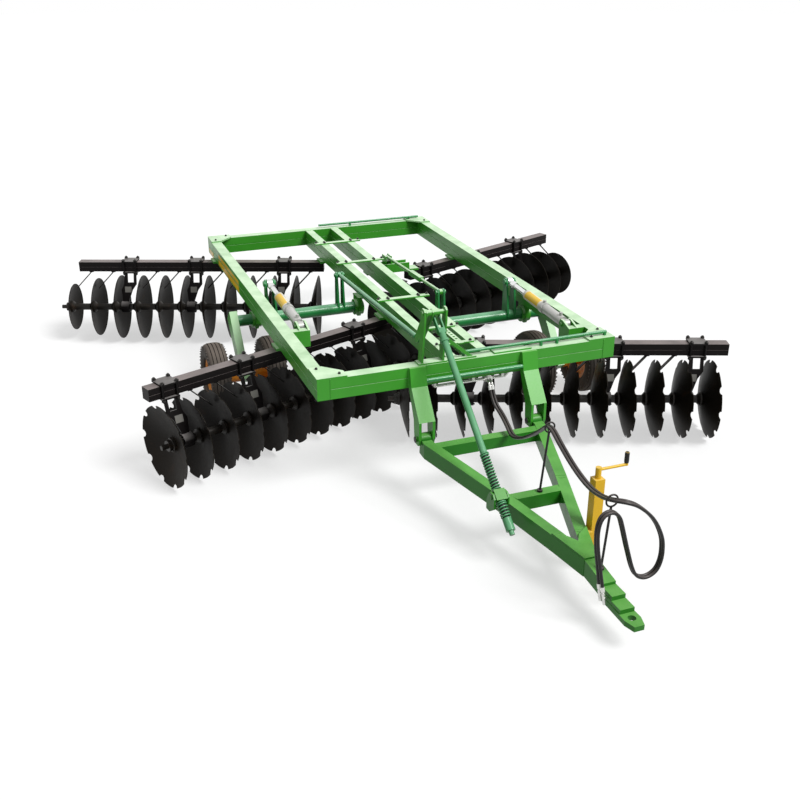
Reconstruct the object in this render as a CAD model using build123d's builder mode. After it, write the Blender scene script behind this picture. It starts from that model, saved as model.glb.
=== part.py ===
from build123d import *
import os
from math import cos, hypot, radians, sin, tan

os.makedirs("parts", exist_ok=True)

# Towed tandem disc harrow: a rectangular frame on two pairs of wheels, four gangs of discs under it,
# and a triangular drawbar in front with a parking jack.
# Millimetres. X runs across the machine, +Y to the rear, Z up from the ground.
# Left and right are as seen from in front of the drawbar: left is -X.

# Frame of rails and centre beams
FRONT_Y = -1036.42
FRAME_WIDTH = 2460.0
FRAME_LENGTH = 4110.0
RAIL_WIDTH = 100.0
RAIL_DEPTH = 160.0
FRAME_TOP = 970.0
FRAME_BOTTOM = FRAME_TOP - RAIL_DEPTH
SEAM_WIDTH = 6.0
SEAM_DEPTH = 3.0
BEAM_WIDTH = 80.0
LEFT_BEAM_X = -140.0
RIGHT_BEAM_X = 145.0
LEFT_RAIL_X = -(FRAME_WIDTH - RAIL_WIDTH) / 2
RIGHT_RAIL_X = (FRAME_WIDTH - RAIL_WIDTH) / 2
REAR_Y = FRONT_Y + FRAME_LENGTH
RAIL_BACK_Y = FRONT_Y + RAIL_WIDTH
PLATE = 12.0
GUSSET_SIDE = 230.0
STRIP_X = 30.0

# Everything on the right stands this much further forward than on the left
STAGGER = 720.0

# Disc gangs
DISC_DIAMETER = 660.0
SECOND_DIAMETER = 600.0
END_DIAMETER = 480.0
DISC_THICKNESS = 6.0
DISC_DISH = 75.0
DISC_FLAT = 66.0
DISC_COUNT = 12
DISC_SPACING = 230.0
DISC_BORE = 60.0
NOTCHES = 10
NOTCH_RADIUS = 34.0
GANG_ANGLE = 21.0
AXLE_Z = DISC_DIAMETER / 2
FIT = 0.3
SPOOL_RADIUS = 34.0
FLANGE_RADIUS = 58.0
FLANGE_WIDTH = 14.0
FLARE = 22.0
NUT_RADIUS = 44.0
NUT_WIDTH = 34.0
STUB_RADIUS = 20.0
STUB_LENGTH = 52.0
GANG_BEAM = 100.0
PAD = 20.0
GANG_BEAM_TOP = FRAME_BOTTOM - PAD
GANG_BEAM_BOTTOM = GANG_BEAM_TOP - GANG_BEAM
GANG_BEAM_BEHIND = 130.0

# Rockshafts, their wheels and their cylinders
SHAFT_Z = 700.0
SHAFT_RADIUS = 52.0
LEFT_SHAFT_Y = FRONT_Y + 2175.0
RIGHT_SHAFT_Y = LEFT_SHAFT_Y - STAGGER
WHEEL_LEAD = 325.0
TYRE_RADIUS = 315.0
TYRE_WIDTH = 180.0
RIM_RADIUS = 185.0
INNER_WHEEL_X = 1135.0
OUTER_WHEEL_X = 1635.0
ARM_X = 1385.0
ARM_THICKNESS = 70.0
LEVER_X = 1030.0
LEVER_LENGTH = 316.0
LEVER_LEAN = 4.5
LEVER_PLATE = 16.0
SIDE_GAP = 5.0
EYE_WIDTH = 46.0
EYE_RADIUS = 38.0
PIN_RADIUS = 18.0
PIN_FIT = 0.4
ANCHOR_REACH = 1050.0
ANCHOR_DROP = 50.0
BARREL_RADIUS = 42.0
ROD_RADIUS = 22.0

# Level-lift linkage: lever on the left shaft, link rod, rocker on the mast, spring rod
LINK_X = -370.0
LINK_LEVER = 325.0
LINK_LEAN = 2.6
LINK_RADIUS = 20.0
LINK_NECK = 66.0
LINK_EYE = 26.0
LINK_EYE_WIDTH = 28.0
LINK_PIN = 12.0
ROCKER_Y = FRONT_Y
ROCKER_Z = 1378.0
ROCKER_PLATE = 10.0
CRANK_WIDTH = 24.0
LINK_FRONT = (FRONT_Y + 185.0, 1108.0)
CRANK_TIP = (FRONT_Y + 31.5, 1343.0)
SPRING_X = -303.0
TRUNNION_Y = FRONT_Y - 1110.0
TRUNNION_Z = 437.0
TRUNNION_BLOCK = 80.0
TRUNNION_PIN = 16.0
RIGHT_LINK_X = 340.0
RIGHT_LEVER = 303.0
RIGHT_LINK_RADIUS = 15.0

# Drawbar and its hinge
HINGE_Y = FRONT_Y - 170.0
HINGE_Z = 460.0
BRACKET_X = 462.0
BRACKET_WIDTH = 128.0
ARM_WIDTH = 80.0
ARM_DEPTH = 120.0
HITCH_Y = FRONT_Y - 2302.0
HITCH_RADIUS = 26.0
JACK_X = 184.0
JACK_Y = FRONT_Y - 1530.0


def write(part, name):
    """Label a finished piece and write its file."""
    part.label = name
    export_step(part, f"parts/{name}.step")


def block(x, y, z, mode=Mode.ADD):
    """Box between the two values of each of x, y and z."""
    with Locations(((x[0] + x[1]) / 2, (y[0] + y[1]) / 2, (z[0] + z[1]) / 2)):
        Box(x[1] - x[0], y[1] - y[0], z[1] - z[0], mode=mode)


def bar(start, end, radius, mode=Mode.ADD):
    """Round bar from one point to another."""
    along = Vector(*end) - Vector(*start)
    with Locations(Plane(origin=start, z_dir=along).location):
        Cylinder(radius, along.length, align=(Align.CENTER, Align.CENTER, Align.MIN), mode=mode)


def box_bar(start, end, width, depth, mode=Mode.ADD):
    """Rectangular bar from one point to another, its width level."""
    along = Vector(*end) - Vector(*start)
    across = Vector(0, 0, 1).cross(along).normalized()
    with Locations(Plane(origin=start, x_dir=across, z_dir=along).location):
        Box(width, depth, along.length, align=(Align.CENTER, Align.CENTER, Align.MIN), mode=mode)


def plate(plane, points, thickness, mode=Mode.ADD):
    """Flat plate of the given outline, its mid plane in the given plane."""
    with BuildSketch(plane) as outline:
        with BuildLine():
            Polyline(*points, close=True)
        make_face()
    extrude(outline.sketch, amount=thickness / 2, both=True, mode=mode)


def side_plate(x, points, thickness, mode=Mode.ADD):
    """Upright plate across X, its outline as (y, z) points."""
    plate(Plane(origin=(x, 0, 0), x_dir=(0, 1, 0), z_dir=(1, 0, 0)), points, thickness, mode)


def cross_bar(x, y, z, radius, mode=Mode.ADD):
    """Round bar along X between two values of x."""
    bar((x[0], y, z), (x[1], y, z), radius, mode)


def rail(x, y, seam_x, seam_y):
    """Frame rail of two channels welded toe to toe, with a seam half way up two of its faces."""
    with BuildPart() as piece:
        block(x, y, (FRAME_BOTTOM, FRAME_TOP))
        middle = (FRAME_TOP + FRAME_BOTTOM) / 2
        seam = (middle - SEAM_WIDTH / 2, middle + SEAM_WIDTH / 2)
        for face in seam_x:
            block((face - SEAM_DEPTH, face + SEAM_DEPTH), y, seam, Mode.SUBTRACT)
        for face in seam_y:
            block(x, (face - SEAM_DEPTH, face + SEAM_DEPTH), seam, Mode.SUBTRACT)
    return piece.part


# Side, front and rear rails
for name, middle in (("side_rail_left", LEFT_RAIL_X), ("side_rail_right", RIGHT_RAIL_X)):
    faces = (middle - RAIL_WIDTH / 2, middle + RAIL_WIDTH / 2)
    write(rail(faces, (FRONT_Y, REAR_Y), faces, ()), name)

between_rails = (LEFT_RAIL_X + RAIL_WIDTH / 2, RIGHT_RAIL_X - RAIL_WIDTH / 2)
for name, faces in (("front_rail", (FRONT_Y, RAIL_BACK_Y)), ("rear_rail", (REAR_Y - RAIL_WIDTH, REAR_Y))):
    write(rail(between_rails, faces, (), faces), name)

# Twin centre beams
with BuildPart() as centre_beams:
    for middle in (LEFT_BEAM_X, RIGHT_BEAM_X):
        faces = (middle - BEAM_WIDTH / 2, middle + BEAM_WIDTH / 2)
        block(faces, (RAIL_BACK_Y, REAR_Y - RAIL_WIDTH), (FRAME_BOTTOM, FRAME_TOP))
        mid_z = (FRAME_TOP + FRAME_BOTTOM) / 2
        for face in faces:
            block((face - SEAM_DEPTH, face + SEAM_DEPTH), (RAIL_BACK_Y, REAR_Y - RAIL_WIDTH),
                  (mid_z - SEAM_WIDTH / 2, mid_z + SEAM_WIDTH / 2), Mode.SUBTRACT)
write(centre_beams.part, "centre_beams")

# Corner gussets and cross straps, all lying on the frame's top
STRAP_WIDTH = 52.0
STRAP_OVERHANG = 60.0
# Distance of each strap behind the frame's front
STRAPS = (1500.0, 2690.0, 3430.0)
TRAPEZOID = (185.0, 430.0, 130.0)
with BuildPart() as frame_plates:
    top = Plane.XY.offset(FRAME_TOP + PLATE / 2)
    for side in (-1, 1):
        for rail_y, inward in ((FRONT_Y, 1), (REAR_Y, -1)):
            x = side * FRAME_WIDTH / 2
            plate(top, ((x, rail_y), (x - side * GUSSET_SIDE, rail_y), (x - side * GUSSET_SIDE, rail_y
                  + inward * RAIL_WIDTH), (x - side * RAIL_WIDTH, rail_y + inward * GUSSET_SIDE),
                  (x, rail_y + inward * GUSSET_SIDE)), PLATE)
    for station in STRAPS:
        y = FRONT_Y + station
        block((LEFT_BEAM_X - BEAM_WIDTH / 2 - STRAP_OVERHANG, RIGHT_BEAM_X + BEAM_WIDTH / 2 + STRAP_OVERHANG),
              (y - STRAP_WIDTH / 2, y + STRAP_WIDTH / 2), (FRAME_TOP, FRAME_TOP + PLATE))
    near, far, depth = TRAPEZOID
    plate(top, ((near, FRONT_Y + 20), (far + 70, FRONT_Y + 20), (far, FRONT_Y + depth), (near, FRONT_Y + depth)),
          PLATE)
    # Perforated strip between the centre beams, on two cross pieces
    for station in (330.0, 700.0):
        block((LEFT_BEAM_X, RIGHT_BEAM_X), (FRONT_Y + station - 20, FRONT_Y + station + 20),
              (FRAME_TOP, FRAME_TOP + PLATE))
    block((STRIP_X - 24, STRIP_X + 24), (FRONT_Y + 300, FRONT_Y + 730), (FRAME_TOP, FRAME_TOP + PLATE))
    with Locations((STRIP_X, FRONT_Y + 515, FRAME_TOP + PLATE / 2)):
        with GridLocations(1, 46, 1, 6):
            Cylinder(11, PLATE, mode=Mode.SUBTRACT)
write(frame_plates.part, "frame_plates")

# Mast: two uprights on the front rail with the rocker's pin between them
MAST_TOP = ROCKER_Z + 36.0
MAST_PLATE = 14.0
MAST_LEFT_X = LINK_X - LINK_EYE_WIDTH / 2 - SIDE_GAP - ROCKER_PLATE - SIDE_GAP - MAST_PLATE / 2
MAST_RIGHT_X = SPRING_X + 60.0
with BuildPart() as mast:
    block((MAST_LEFT_X - 30, MAST_RIGHT_X + 30), (FRONT_Y + 8, RAIL_BACK_Y - 8), (FRAME_TOP, FRAME_TOP + PLATE))
    for x in (MAST_LEFT_X, MAST_RIGHT_X):
        side_plate(x, ((FRONT_Y + 14, FRAME_TOP + PLATE), (RAIL_BACK_Y - 12, FRAME_TOP + PLATE),
                       (ROCKER_Y + 38, ROCKER_Z - 50), (ROCKER_Y + 34, MAST_TOP - 18), (ROCKER_Y + 14, MAST_TOP),
                       (ROCKER_Y - 14, MAST_TOP), (ROCKER_Y - 34, MAST_TOP - 18), (ROCKER_Y - 34, ROCKER_Z - 60)),
                   MAST_PLATE)
    cross_bar((MAST_LEFT_X - 16, MAST_RIGHT_X + 16), ROCKER_Y, ROCKER_Z, PIN_RADIUS)
    brace_plane = Plane.XZ.offset(-(FRONT_Y + 34))
    plate(brace_plane, ((MAST_RIGHT_X, 1190), (MAST_RIGHT_X, 1155), (-30, FRAME_TOP + PLATE / 2),
                        (12, FRAME_TOP + PLATE / 2)), 16)
    block((MAST_RIGHT_X, 30), (FRONT_Y + 14, FRONT_Y + 40), (FRAME_TOP, FRAME_TOP + PLATE))
write(mast.part, "mast")

# Brackets that hang from the front rail and carry the drawbar's hinge
EAR = 20.0
EAR_CENTRE = BRACKET_WIDTH / 2 - EAR / 2
for name, x in (("hitch_bracket_left", -BRACKET_X), ("hitch_bracket_right", BRACKET_X)):
    with BuildPart() as bracket:
        profile = ((FRONT_Y, FRAME_TOP), (FRONT_Y - 24, FRAME_TOP), (FRONT_Y - 60, FRAME_BOTTOM + 20),
                   (HINGE_Y - 50, 610), (HINGE_Y - 50, HINGE_Z + 10), (HINGE_Y - 30, HINGE_Z - 42),
                   (HINGE_Y + 40, HINGE_Z - 42), (HINGE_Y + 50, HINGE_Z + 20), (HINGE_Y + 62, 600),
                   (FRONT_Y, FRAME_BOTTOM + 10))
        for side in (-1, 1):
            side_plate(x + side * EAR_CENTRE, profile, EAR)
        side_plate(x, ((FRONT_Y, FRAME_TOP), (FRONT_Y - 24, FRAME_TOP), (FRONT_Y - 60, FRAME_BOTTOM + 20),
                       (HINGE_Y - 50, 610), (HINGE_Y - 34, 610), (FRONT_Y - 44, FRAME_BOTTOM + 20),
                       (FRONT_Y, FRAME_TOP - 60)), BRACKET_WIDTH - 2 * EAR)
        cross_bar((x - BRACKET_WIDTH / 2 - 14, x + BRACKET_WIDTH / 2 + 14), HINGE_Y, HINGE_Z, PIN_RADIUS)
    write(bracket.part, name)

# Rods of the frame: tie bar between the brackets, rods along the front rail and the rear rail
TIE_Z = 862.0
with BuildPart() as frame_rods:
    inner = BRACKET_X - BRACKET_WIDTH / 2
    cross_bar((-inner, inner), FRONT_Y - 36, TIE_Z, 16)
    bar((-72, FRONT_Y + 58, 1010), (1180, FRONT_Y + 58, 1010), 13)
    for x, foot in ((-60, FRAME_TOP), (600, FRAME_TOP), (740, FRAME_TOP), (1168, FRAME_TOP + PLATE)):
        block((x - 8, x + 8), (FRONT_Y + 46, FRONT_Y + 70), (foot, 1004))
    rear_y = REAR_Y - 60
    for x, foot in ((340, FRAME_TOP), (1020, FRAME_TOP + PLATE)):
        block((x - 10, x + 10), (rear_y - 12, rear_y + 12), (foot, 996))
    bar((-20, rear_y, 1004), (1150, rear_y, 1004), 12)
write(frame_rods.part, "frame_rods")


# Disc gangs. Each gang has its own frame: X along its axle towards the discs' hollow side,
# Y level and square to it, Z up, with its origin at the first disc's hub.
def gang_plane(x, y, heading):
    """Plane of a gang, with its X at the given heading in degrees."""
    return Plane(origin=(x, y, AXLE_Z), x_dir=(cos(radians(heading)), sin(radians(heading)), 0), z_dir=(0, 0, 1))


def disc_blank(diameter, notched):
    """One dished disc about X, its flat centre at the origin and its rim towards +X."""
    rim = diameter / 2
    dish = DISC_DISH * (rim / (DISC_DIAMETER / 2)) ** 2
    middle_radius = (rim + DISC_FLAT) / 2
    middle_dish = dish * ((middle_radius - DISC_FLAT) / (rim - DISC_FLAT)) ** 2 + 0.18 * dish
    with BuildPart() as blank:
        with BuildSketch(Plane.XZ) as profile:
            with BuildLine():
                Polyline((0, DISC_FLAT), (0, DISC_BORE / 2), (DISC_THICKNESS, DISC_BORE / 2),
                         (DISC_THICKNESS, DISC_FLAT))
                ThreePointArc((DISC_THICKNESS, DISC_FLAT), (middle_dish + DISC_THICKNESS, middle_radius),
                              (dish + DISC_THICKNESS, rim))
                Line((dish + DISC_THICKNESS, rim), (dish, rim))
                ThreePointArc((dish, rim), (middle_dish, middle_radius), (0, DISC_FLAT))
            make_face()
        revolve(axis=Axis.X)
        if notched:
            with BuildSketch(Plane.YZ) as notches:
                with PolarLocations(rim + 6, NOTCHES):
                    Circle(NOTCH_RADIUS)
            extrude(amount=DISC_DISH * 2, mode=Mode.SUBTRACT)
    return blank.part


def axle_part(hubs, plane):
    """Axle with a spool between each two discs and a nut at each end, in the gang's frame."""
    shaft = DISC_BORE / 2 - FIT
    with BuildPart() as axle:
        with BuildSketch(Plane.XZ) as profile:
            with BuildLine():
                outline = [(hubs[0] - FLANGE_WIDTH - NUT_WIDTH - STUB_LENGTH, 0)]
                outline += [(outline[0][0], STUB_RADIUS)]
                outline += [(hubs[0] - FLANGE_WIDTH - NUT_WIDTH, STUB_RADIUS)]
                outline += [(hubs[0] - FLANGE_WIDTH - NUT_WIDTH, NUT_RADIUS)]
                outline += [(hubs[0] - FLANGE_WIDTH, NUT_RADIUS)]
                for hub in hubs:
                    outline += [(hub - FLANGE_WIDTH, FLANGE_RADIUS), (hub, FLANGE_RADIUS), (hub, shaft)]
                    far = hub + DISC_THICKNESS
                    outline += [(far, shaft), (far, FLANGE_RADIUS), (far + FLANGE_WIDTH, FLANGE_RADIUS)]
                    if hub != hubs[-1]:
                        outline += [(far + FLANGE_WIDTH + FLARE, SPOOL_RADIUS)]
                        outline += [(hub + DISC_SPACING - FLANGE_WIDTH - FLARE, SPOOL_RADIUS)]
                last = hubs[-1] + DISC_THICKNESS + FLANGE_WIDTH
                outline += [(last, NUT_RADIUS), (last + NUT_WIDTH, NUT_RADIUS), (last + NUT_WIDTH, STUB_RADIUS)]
                outline += [(last + NUT_WIDTH + STUB_LENGTH, STUB_RADIUS), (last + NUT_WIDTH + STUB_LENGTH, 0)]
                Polyline(*outline, close=True)
            make_face()
        revolve(axis=Axis.X)
    return axle.part.moved(plane.location)


HANGER_LEAN = 60.0
HANGER_PLATE = 18.0
HOUSING_RADIUS = 60.0
HOUSING_WIDTH = 84.0
CLAMP = 150.0
CLAMP_PLATE = 14.0
LEG_SPAN = 92.0
RUNNING = 1.0


def hanger_blank(behind):
    """Bearing hanger at the origin on its axle, clamped to the gang beam above and behind it."""
    low = GANG_BEAM_BOTTOM - AXLE_Z
    high = GANG_BEAM_TOP - AXLE_Z
    beam_y = behind * GANG_BEAM_BEHIND
    plate_y = behind * (GANG_BEAM_BEHIND - CLAMP / 2 + 22)
    with BuildPart() as blank:
        for start in (low - CLAMP_PLATE, high):
            block((HANGER_LEAN - CLAMP / 2, HANGER_LEAN + CLAMP / 2), (beam_y - CLAMP / 2, beam_y + CLAMP / 2),
                  (start, start + CLAMP_PLATE))
        for x in (-1, 1):
            for y in (-1, 1):
                bolt = (HANGER_LEAN + x * (CLAMP / 2 - 14), beam_y + y * (CLAMP / 2 - 12))
                bar((*bolt, low - CLAMP_PLATE - 16), (*bolt, high + CLAMP_PLATE + 18), 10)
        # Sloping web from the clamp down to the housing, in the plane of both
        foot_z = HOUSING_RADIUS - 12
        slope = Vector(0, plate_y, low - CLAMP_PLATE - foot_z)
        length = slope.length
        web = Plane(origin=(0, 0, foot_z), x_dir=(1, 0, 0), z_dir=Vector(1, 0, 0).cross(slope))
        sign = 1 if web.y_dir.Z > 0 else -1
        outline = ((-28, 0), (28, 0), (74, 0.42 * length), (HANGER_LEAN + LEG_SPAN / 2 + 12, 0.62 * length),
                   (HANGER_LEAN + LEG_SPAN / 2 + 12, length), (HANGER_LEAN + LEG_SPAN / 2 - 14, length),
                   (HANGER_LEAN + LEG_SPAN / 2 - 16, 0.68 * length), (HANGER_LEAN - LEG_SPAN / 2 + 14, 0.68 * length),
                   (HANGER_LEAN - LEG_SPAN / 2 + 14, length), (HANGER_LEAN - LEG_SPAN / 2 - 12, length),
                   (HANGER_LEAN - LEG_SPAN / 2 - 26, 0.62 * length), (-40, 0.42 * length))
        plate(web, [(x, sign * y) for x, y in outline], HANGER_PLATE)
        cross_bar((-HOUSING_WIDTH / 2, HOUSING_WIDTH / 2), 0, 0, HOUSING_RADIUS)
        cross_bar((-HOUSING_WIDTH / 2, HOUSING_WIDTH / 2), 0, 0, SPOOL_RADIUS + RUNNING, Mode.SUBTRACT)
    return blank.part


SCRAPER_TOP = (225.0, 105.0)
SCRAPER_TIP = (60.0, 66.0, 185.0)
SCRAPER_WIDTH = 30.0
SCRAPER_THICKNESS = 7.0


def scraper_blank(behind):
    """Scraper of the disc whose hub is at the origin, bolted under the gang beam."""
    top_z = GANG_BEAM_BOTTOM - AXLE_Z
    top = (SCRAPER_TOP[0], behind * SCRAPER_TOP[1], top_z - 6)
    tip = (SCRAPER_TIP[0], behind * SCRAPER_TIP[1], SCRAPER_TIP[2])
    with BuildPart() as blank:
        box_bar(top, tip, SCRAPER_WIDTH, SCRAPER_THICKNESS)
        block((top[0] - 20, top[0] + 20), sorted((top[1] - behind * 18, top[1] + behind * 52)), (top_z - 10, top_z))
    return blank.part


# name, first hub x, y from the frame's front, heading of the hollow side, side of the beam in the gang's frame,
# direction of the row, notched, gaps with a hanger, discs without a scraper, beam from and to along the row
GANGS = (
    ("front_left", -2200.0, 652.0, 180.0 + GANG_ANGLE, -1, -1, True, (0, 3, 8), (0,), -120.0, 2300.0),
    ("front_right", 2082.0, -72.0, -GANG_ANGLE, 1, -1, True, (0, 3, 8), (0,), -207.0, 2135.0),
    ("rear_left", -2691.0, 4248.0, -GANG_ANGLE, 1, 1, False, (2, 5, 9), (11,), 105.0, 2665.0),
    ("rear_right", 2691.0, 3507.0, 180.0 + GANG_ANGLE, -1, 1, False, (2, 5, 8), (11,), 140.0, 2240.0),
)

gang_beam_lines = {}
for name, x, y, heading, side, row, notched, hanger_gaps, bare, beam_from, beam_to in GANGS:
    plane = gang_plane(x, FRONT_Y + y, heading)
    places = [row * DISC_SPACING * i for i in range(DISC_COUNT)]

    sizes = [DISC_DIAMETER] * DISC_COUNT
    if not notched:
        sizes[0] = END_DIAMETER
        sizes[1] = SECOND_DIAMETER
    blanks = {size: disc_blank(size, notched) for size in set(sizes)}
    with BuildPart() as discs:
        for place, size in zip(places, sizes):
            with Locations(plane.location * Location((place, 0, 0))):
                add(blanks[size])
    write(discs.part, f"discs_{name}")

    write(axle_part(sorted(places), plane), f"axle_{name}")

    ends = sorted((row * beam_from, row * beam_to))
    mid_z = (GANG_BEAM_TOP + GANG_BEAM_BOTTOM) / 2 - AXLE_Z
    beam_y = side * GANG_BEAM_BEHIND
    with BuildPart() as local_beam:
        block(ends, (beam_y - GANG_BEAM / 2, beam_y + GANG_BEAM / 2), (mid_z - GANG_BEAM / 2, mid_z + GANG_BEAM / 2))
        for face in (beam_y - GANG_BEAM / 2, beam_y + GANG_BEAM / 2):
            block(ends, (face - SEAM_DEPTH, face + SEAM_DEPTH), (mid_z - SEAM_WIDTH / 2, mid_z + SEAM_WIDTH / 2),
                  Mode.SUBTRACT)
    write(local_beam.part.moved(plane.location), f"gang_beam_{name}")
    ends_world = [plane.from_local_coords(Vector(end, beam_y, 0)) for end in ends]
    gang_beam_lines[name] = sorted(ends_world, key=lambda point: point.X)

    hanger = hanger_blank(side)
    scraper = scraper_blank(side)
    hanger_places = [row * DISC_SPACING * (gap + 0.5) + DISC_THICKNESS / 2 for gap in hanger_gaps]
    taken = [min(row * gap, row * (gap + 1)) for gap in hanger_gaps]
    with BuildPart() as hangers:
        for place in hanger_places:
            with Locations(plane.location * Location((place, 0, 0))):
                add(hanger)
        for i in range(DISC_COUNT):
            if i in bare or row * i in taken:
                continue
            with Locations(plane.location * Location((places[i], 0, 0))):
                add(scraper)
    write(hangers.part, f"hangers_{name}")


def beam_y_at(name, x):
    """Y of a gang beam's middle line at the given x."""
    start, end = gang_beam_lines[name]
    return start.Y + (x - start.X) * (end.Y - start.Y) / (end.X - start.X)


# Pads between the gang beams and the frame, and the arm that carries the rear right beam's inner end
PAD_SIZE = 150.0
PADS = (
    ("front_left", LEFT_RAIL_X), ("front_left", LEFT_BEAM_X), ("front_right", RIGHT_RAIL_X),
    ("front_right", RIGHT_BEAM_X), ("rear_left", LEFT_RAIL_X), ("rear_left", LEFT_BEAM_X),
    ("rear_right", RIGHT_RAIL_X),
)
with BuildPart() as gang_pads:
    for name, x in PADS:
        y = beam_y_at(name, x)
        block((x - PAD_SIZE / 2, x + PAD_SIZE / 2), (y - PAD_SIZE / 2, y + PAD_SIZE / 2),
              (GANG_BEAM_TOP, FRAME_BOTTOM))
write(gang_pads.part, "gang_pads")

with BuildPart() as beam_arm:
    inner_x = 600.0
    inner_y = beam_y_at("rear_right", inner_x)
    block((RIGHT_BEAM_X - BEAM_WIDTH / 2, inner_x + 60), (inner_y - 60, inner_y + 60), (GANG_BEAM_TOP, FRAME_BOTTOM))
    for y in (inner_y - 60, inner_y + 44):
        block((RIGHT_BEAM_X + BEAM_WIDTH / 2 + 6, inner_x - 40), (y, y + 16), (FRAME_BOTTOM, FRAME_BOTTOM + 70))
    # Ears that guide the right link's rear end
    for side in (-1, 1):
        ear_x = RIGHT_LINK_X + side * (RIGHT_LINK_RADIUS + SIDE_GAP + 7)
        block((ear_x - 6, ear_x + 6), (inner_y - 56, inner_y + 56), (FRAME_BOTTOM, FRAME_TOP - 8))
write(beam_arm.part, "beam_arm")

# Rockshafts with their levers, the wheel arms, wheels, cylinders and bearings
WHEEL_Z = TYRE_RADIUS
LEVER_GAP = EYE_WIDTH + 2 * SIDE_GAP
HUB_GAP = 8.0
AXLE_RADIUS = 34.0
LINK_GAP = LINK_EYE_WIDTH + 2 * SIDE_GAP
SHAFT_BEARING = 30.0


def lever_plates(shaft_y, x, gap, length, lean, base, tip, pin=0):
    """Pair of lever plates on a shaft, with pin heads outside them and a pin through the gap if pin is its radius."""
    lean = radians(lean)
    top_y = shaft_y + length * sin(lean)
    top_z = SHAFT_Z + length * cos(lean)
    side_y = cos(lean)
    side_z = -sin(lean)
    for side in (-1, 1):
        middle = x + side * (gap + LEVER_PLATE) / 2
        outline = ((shaft_y - base * side_y, SHAFT_Z - base * side_z), (shaft_y + base * side_y, SHAFT_Z
                   + base * side_z), (top_y + tip * side_y, top_z + tip * side_z),
                   (top_y + 0.5 * tip * side_y, top_z + tip), (top_y - 0.5 * tip * side_y, top_z + tip),
                   (top_y - tip * side_y, top_z - tip * side_z))
        side_plate(middle, outline, LEVER_PLATE)
        face = x + side * (gap / 2 + LEVER_PLATE)
        cross_bar(sorted((face, face + side * 12)), top_y, top_z, tip - 8)
    if pin:
        cross_bar((x - gap / 2 - 1, x + gap / 2 + 1), top_y, top_z, pin)
    return top_y, top_z


def tyre_outline():
    """Half section of a tyre about X, as (x, radius) points of its crown, shoulders and beads."""
    half = TYRE_WIDTH / 2
    return ((-half + 34, RIM_RADIUS), (-half + 6, RIM_RADIUS + 30), (-half, RIM_RADIUS + 70),
            (-half + 14, TYRE_RADIUS - 22), (-half + 34, TYRE_RADIUS - 3), (0, TYRE_RADIUS),
            (half - 34, TYRE_RADIUS - 3), (half - 14, TYRE_RADIUS - 22), (half, RIM_RADIUS + 70),
            (half - 6, RIM_RADIUS + 30), (half - 34, RIM_RADIUS))


def round_about_x(points):
    """Solid of revolution about X from (x, radius) points."""
    with BuildPart() as turned:
        with BuildSketch(Plane.XZ) as profile:
            with BuildLine():
                Polyline(*points, close=True)
            make_face()
        revolve(axis=Axis.X)
    return turned.part


tyre_blank = round_about_x(tyre_outline())
half_rim = TYRE_WIDTH / 2 - 34
RIM_SEAT = 28.0
RIM_WEB = 60.0
HUB_RADIUS = 62.0
hub_reach = OUTER_WHEEL_X - ARM_X - ARM_THICKNESS / 2 - HUB_GAP
rim_blank = round_about_x((
    (-half_rim, RIM_RADIUS - FIT), (half_rim, RIM_RADIUS - FIT), (half_rim, RIM_RADIUS - RIM_SEAT),
    (30, RIM_RADIUS - RIM_WEB), (30, HUB_RADIUS), (hub_reach, HUB_RADIUS), (hub_reach, AXLE_RADIUS + RUNNING),
    (-50, AXLE_RADIUS + RUNNING), (-50, HUB_RADIUS), (6, HUB_RADIUS), (6, RIM_RADIUS - RIM_WEB),
    (-half_rim, RIM_RADIUS - RIM_SEAT)))

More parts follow.
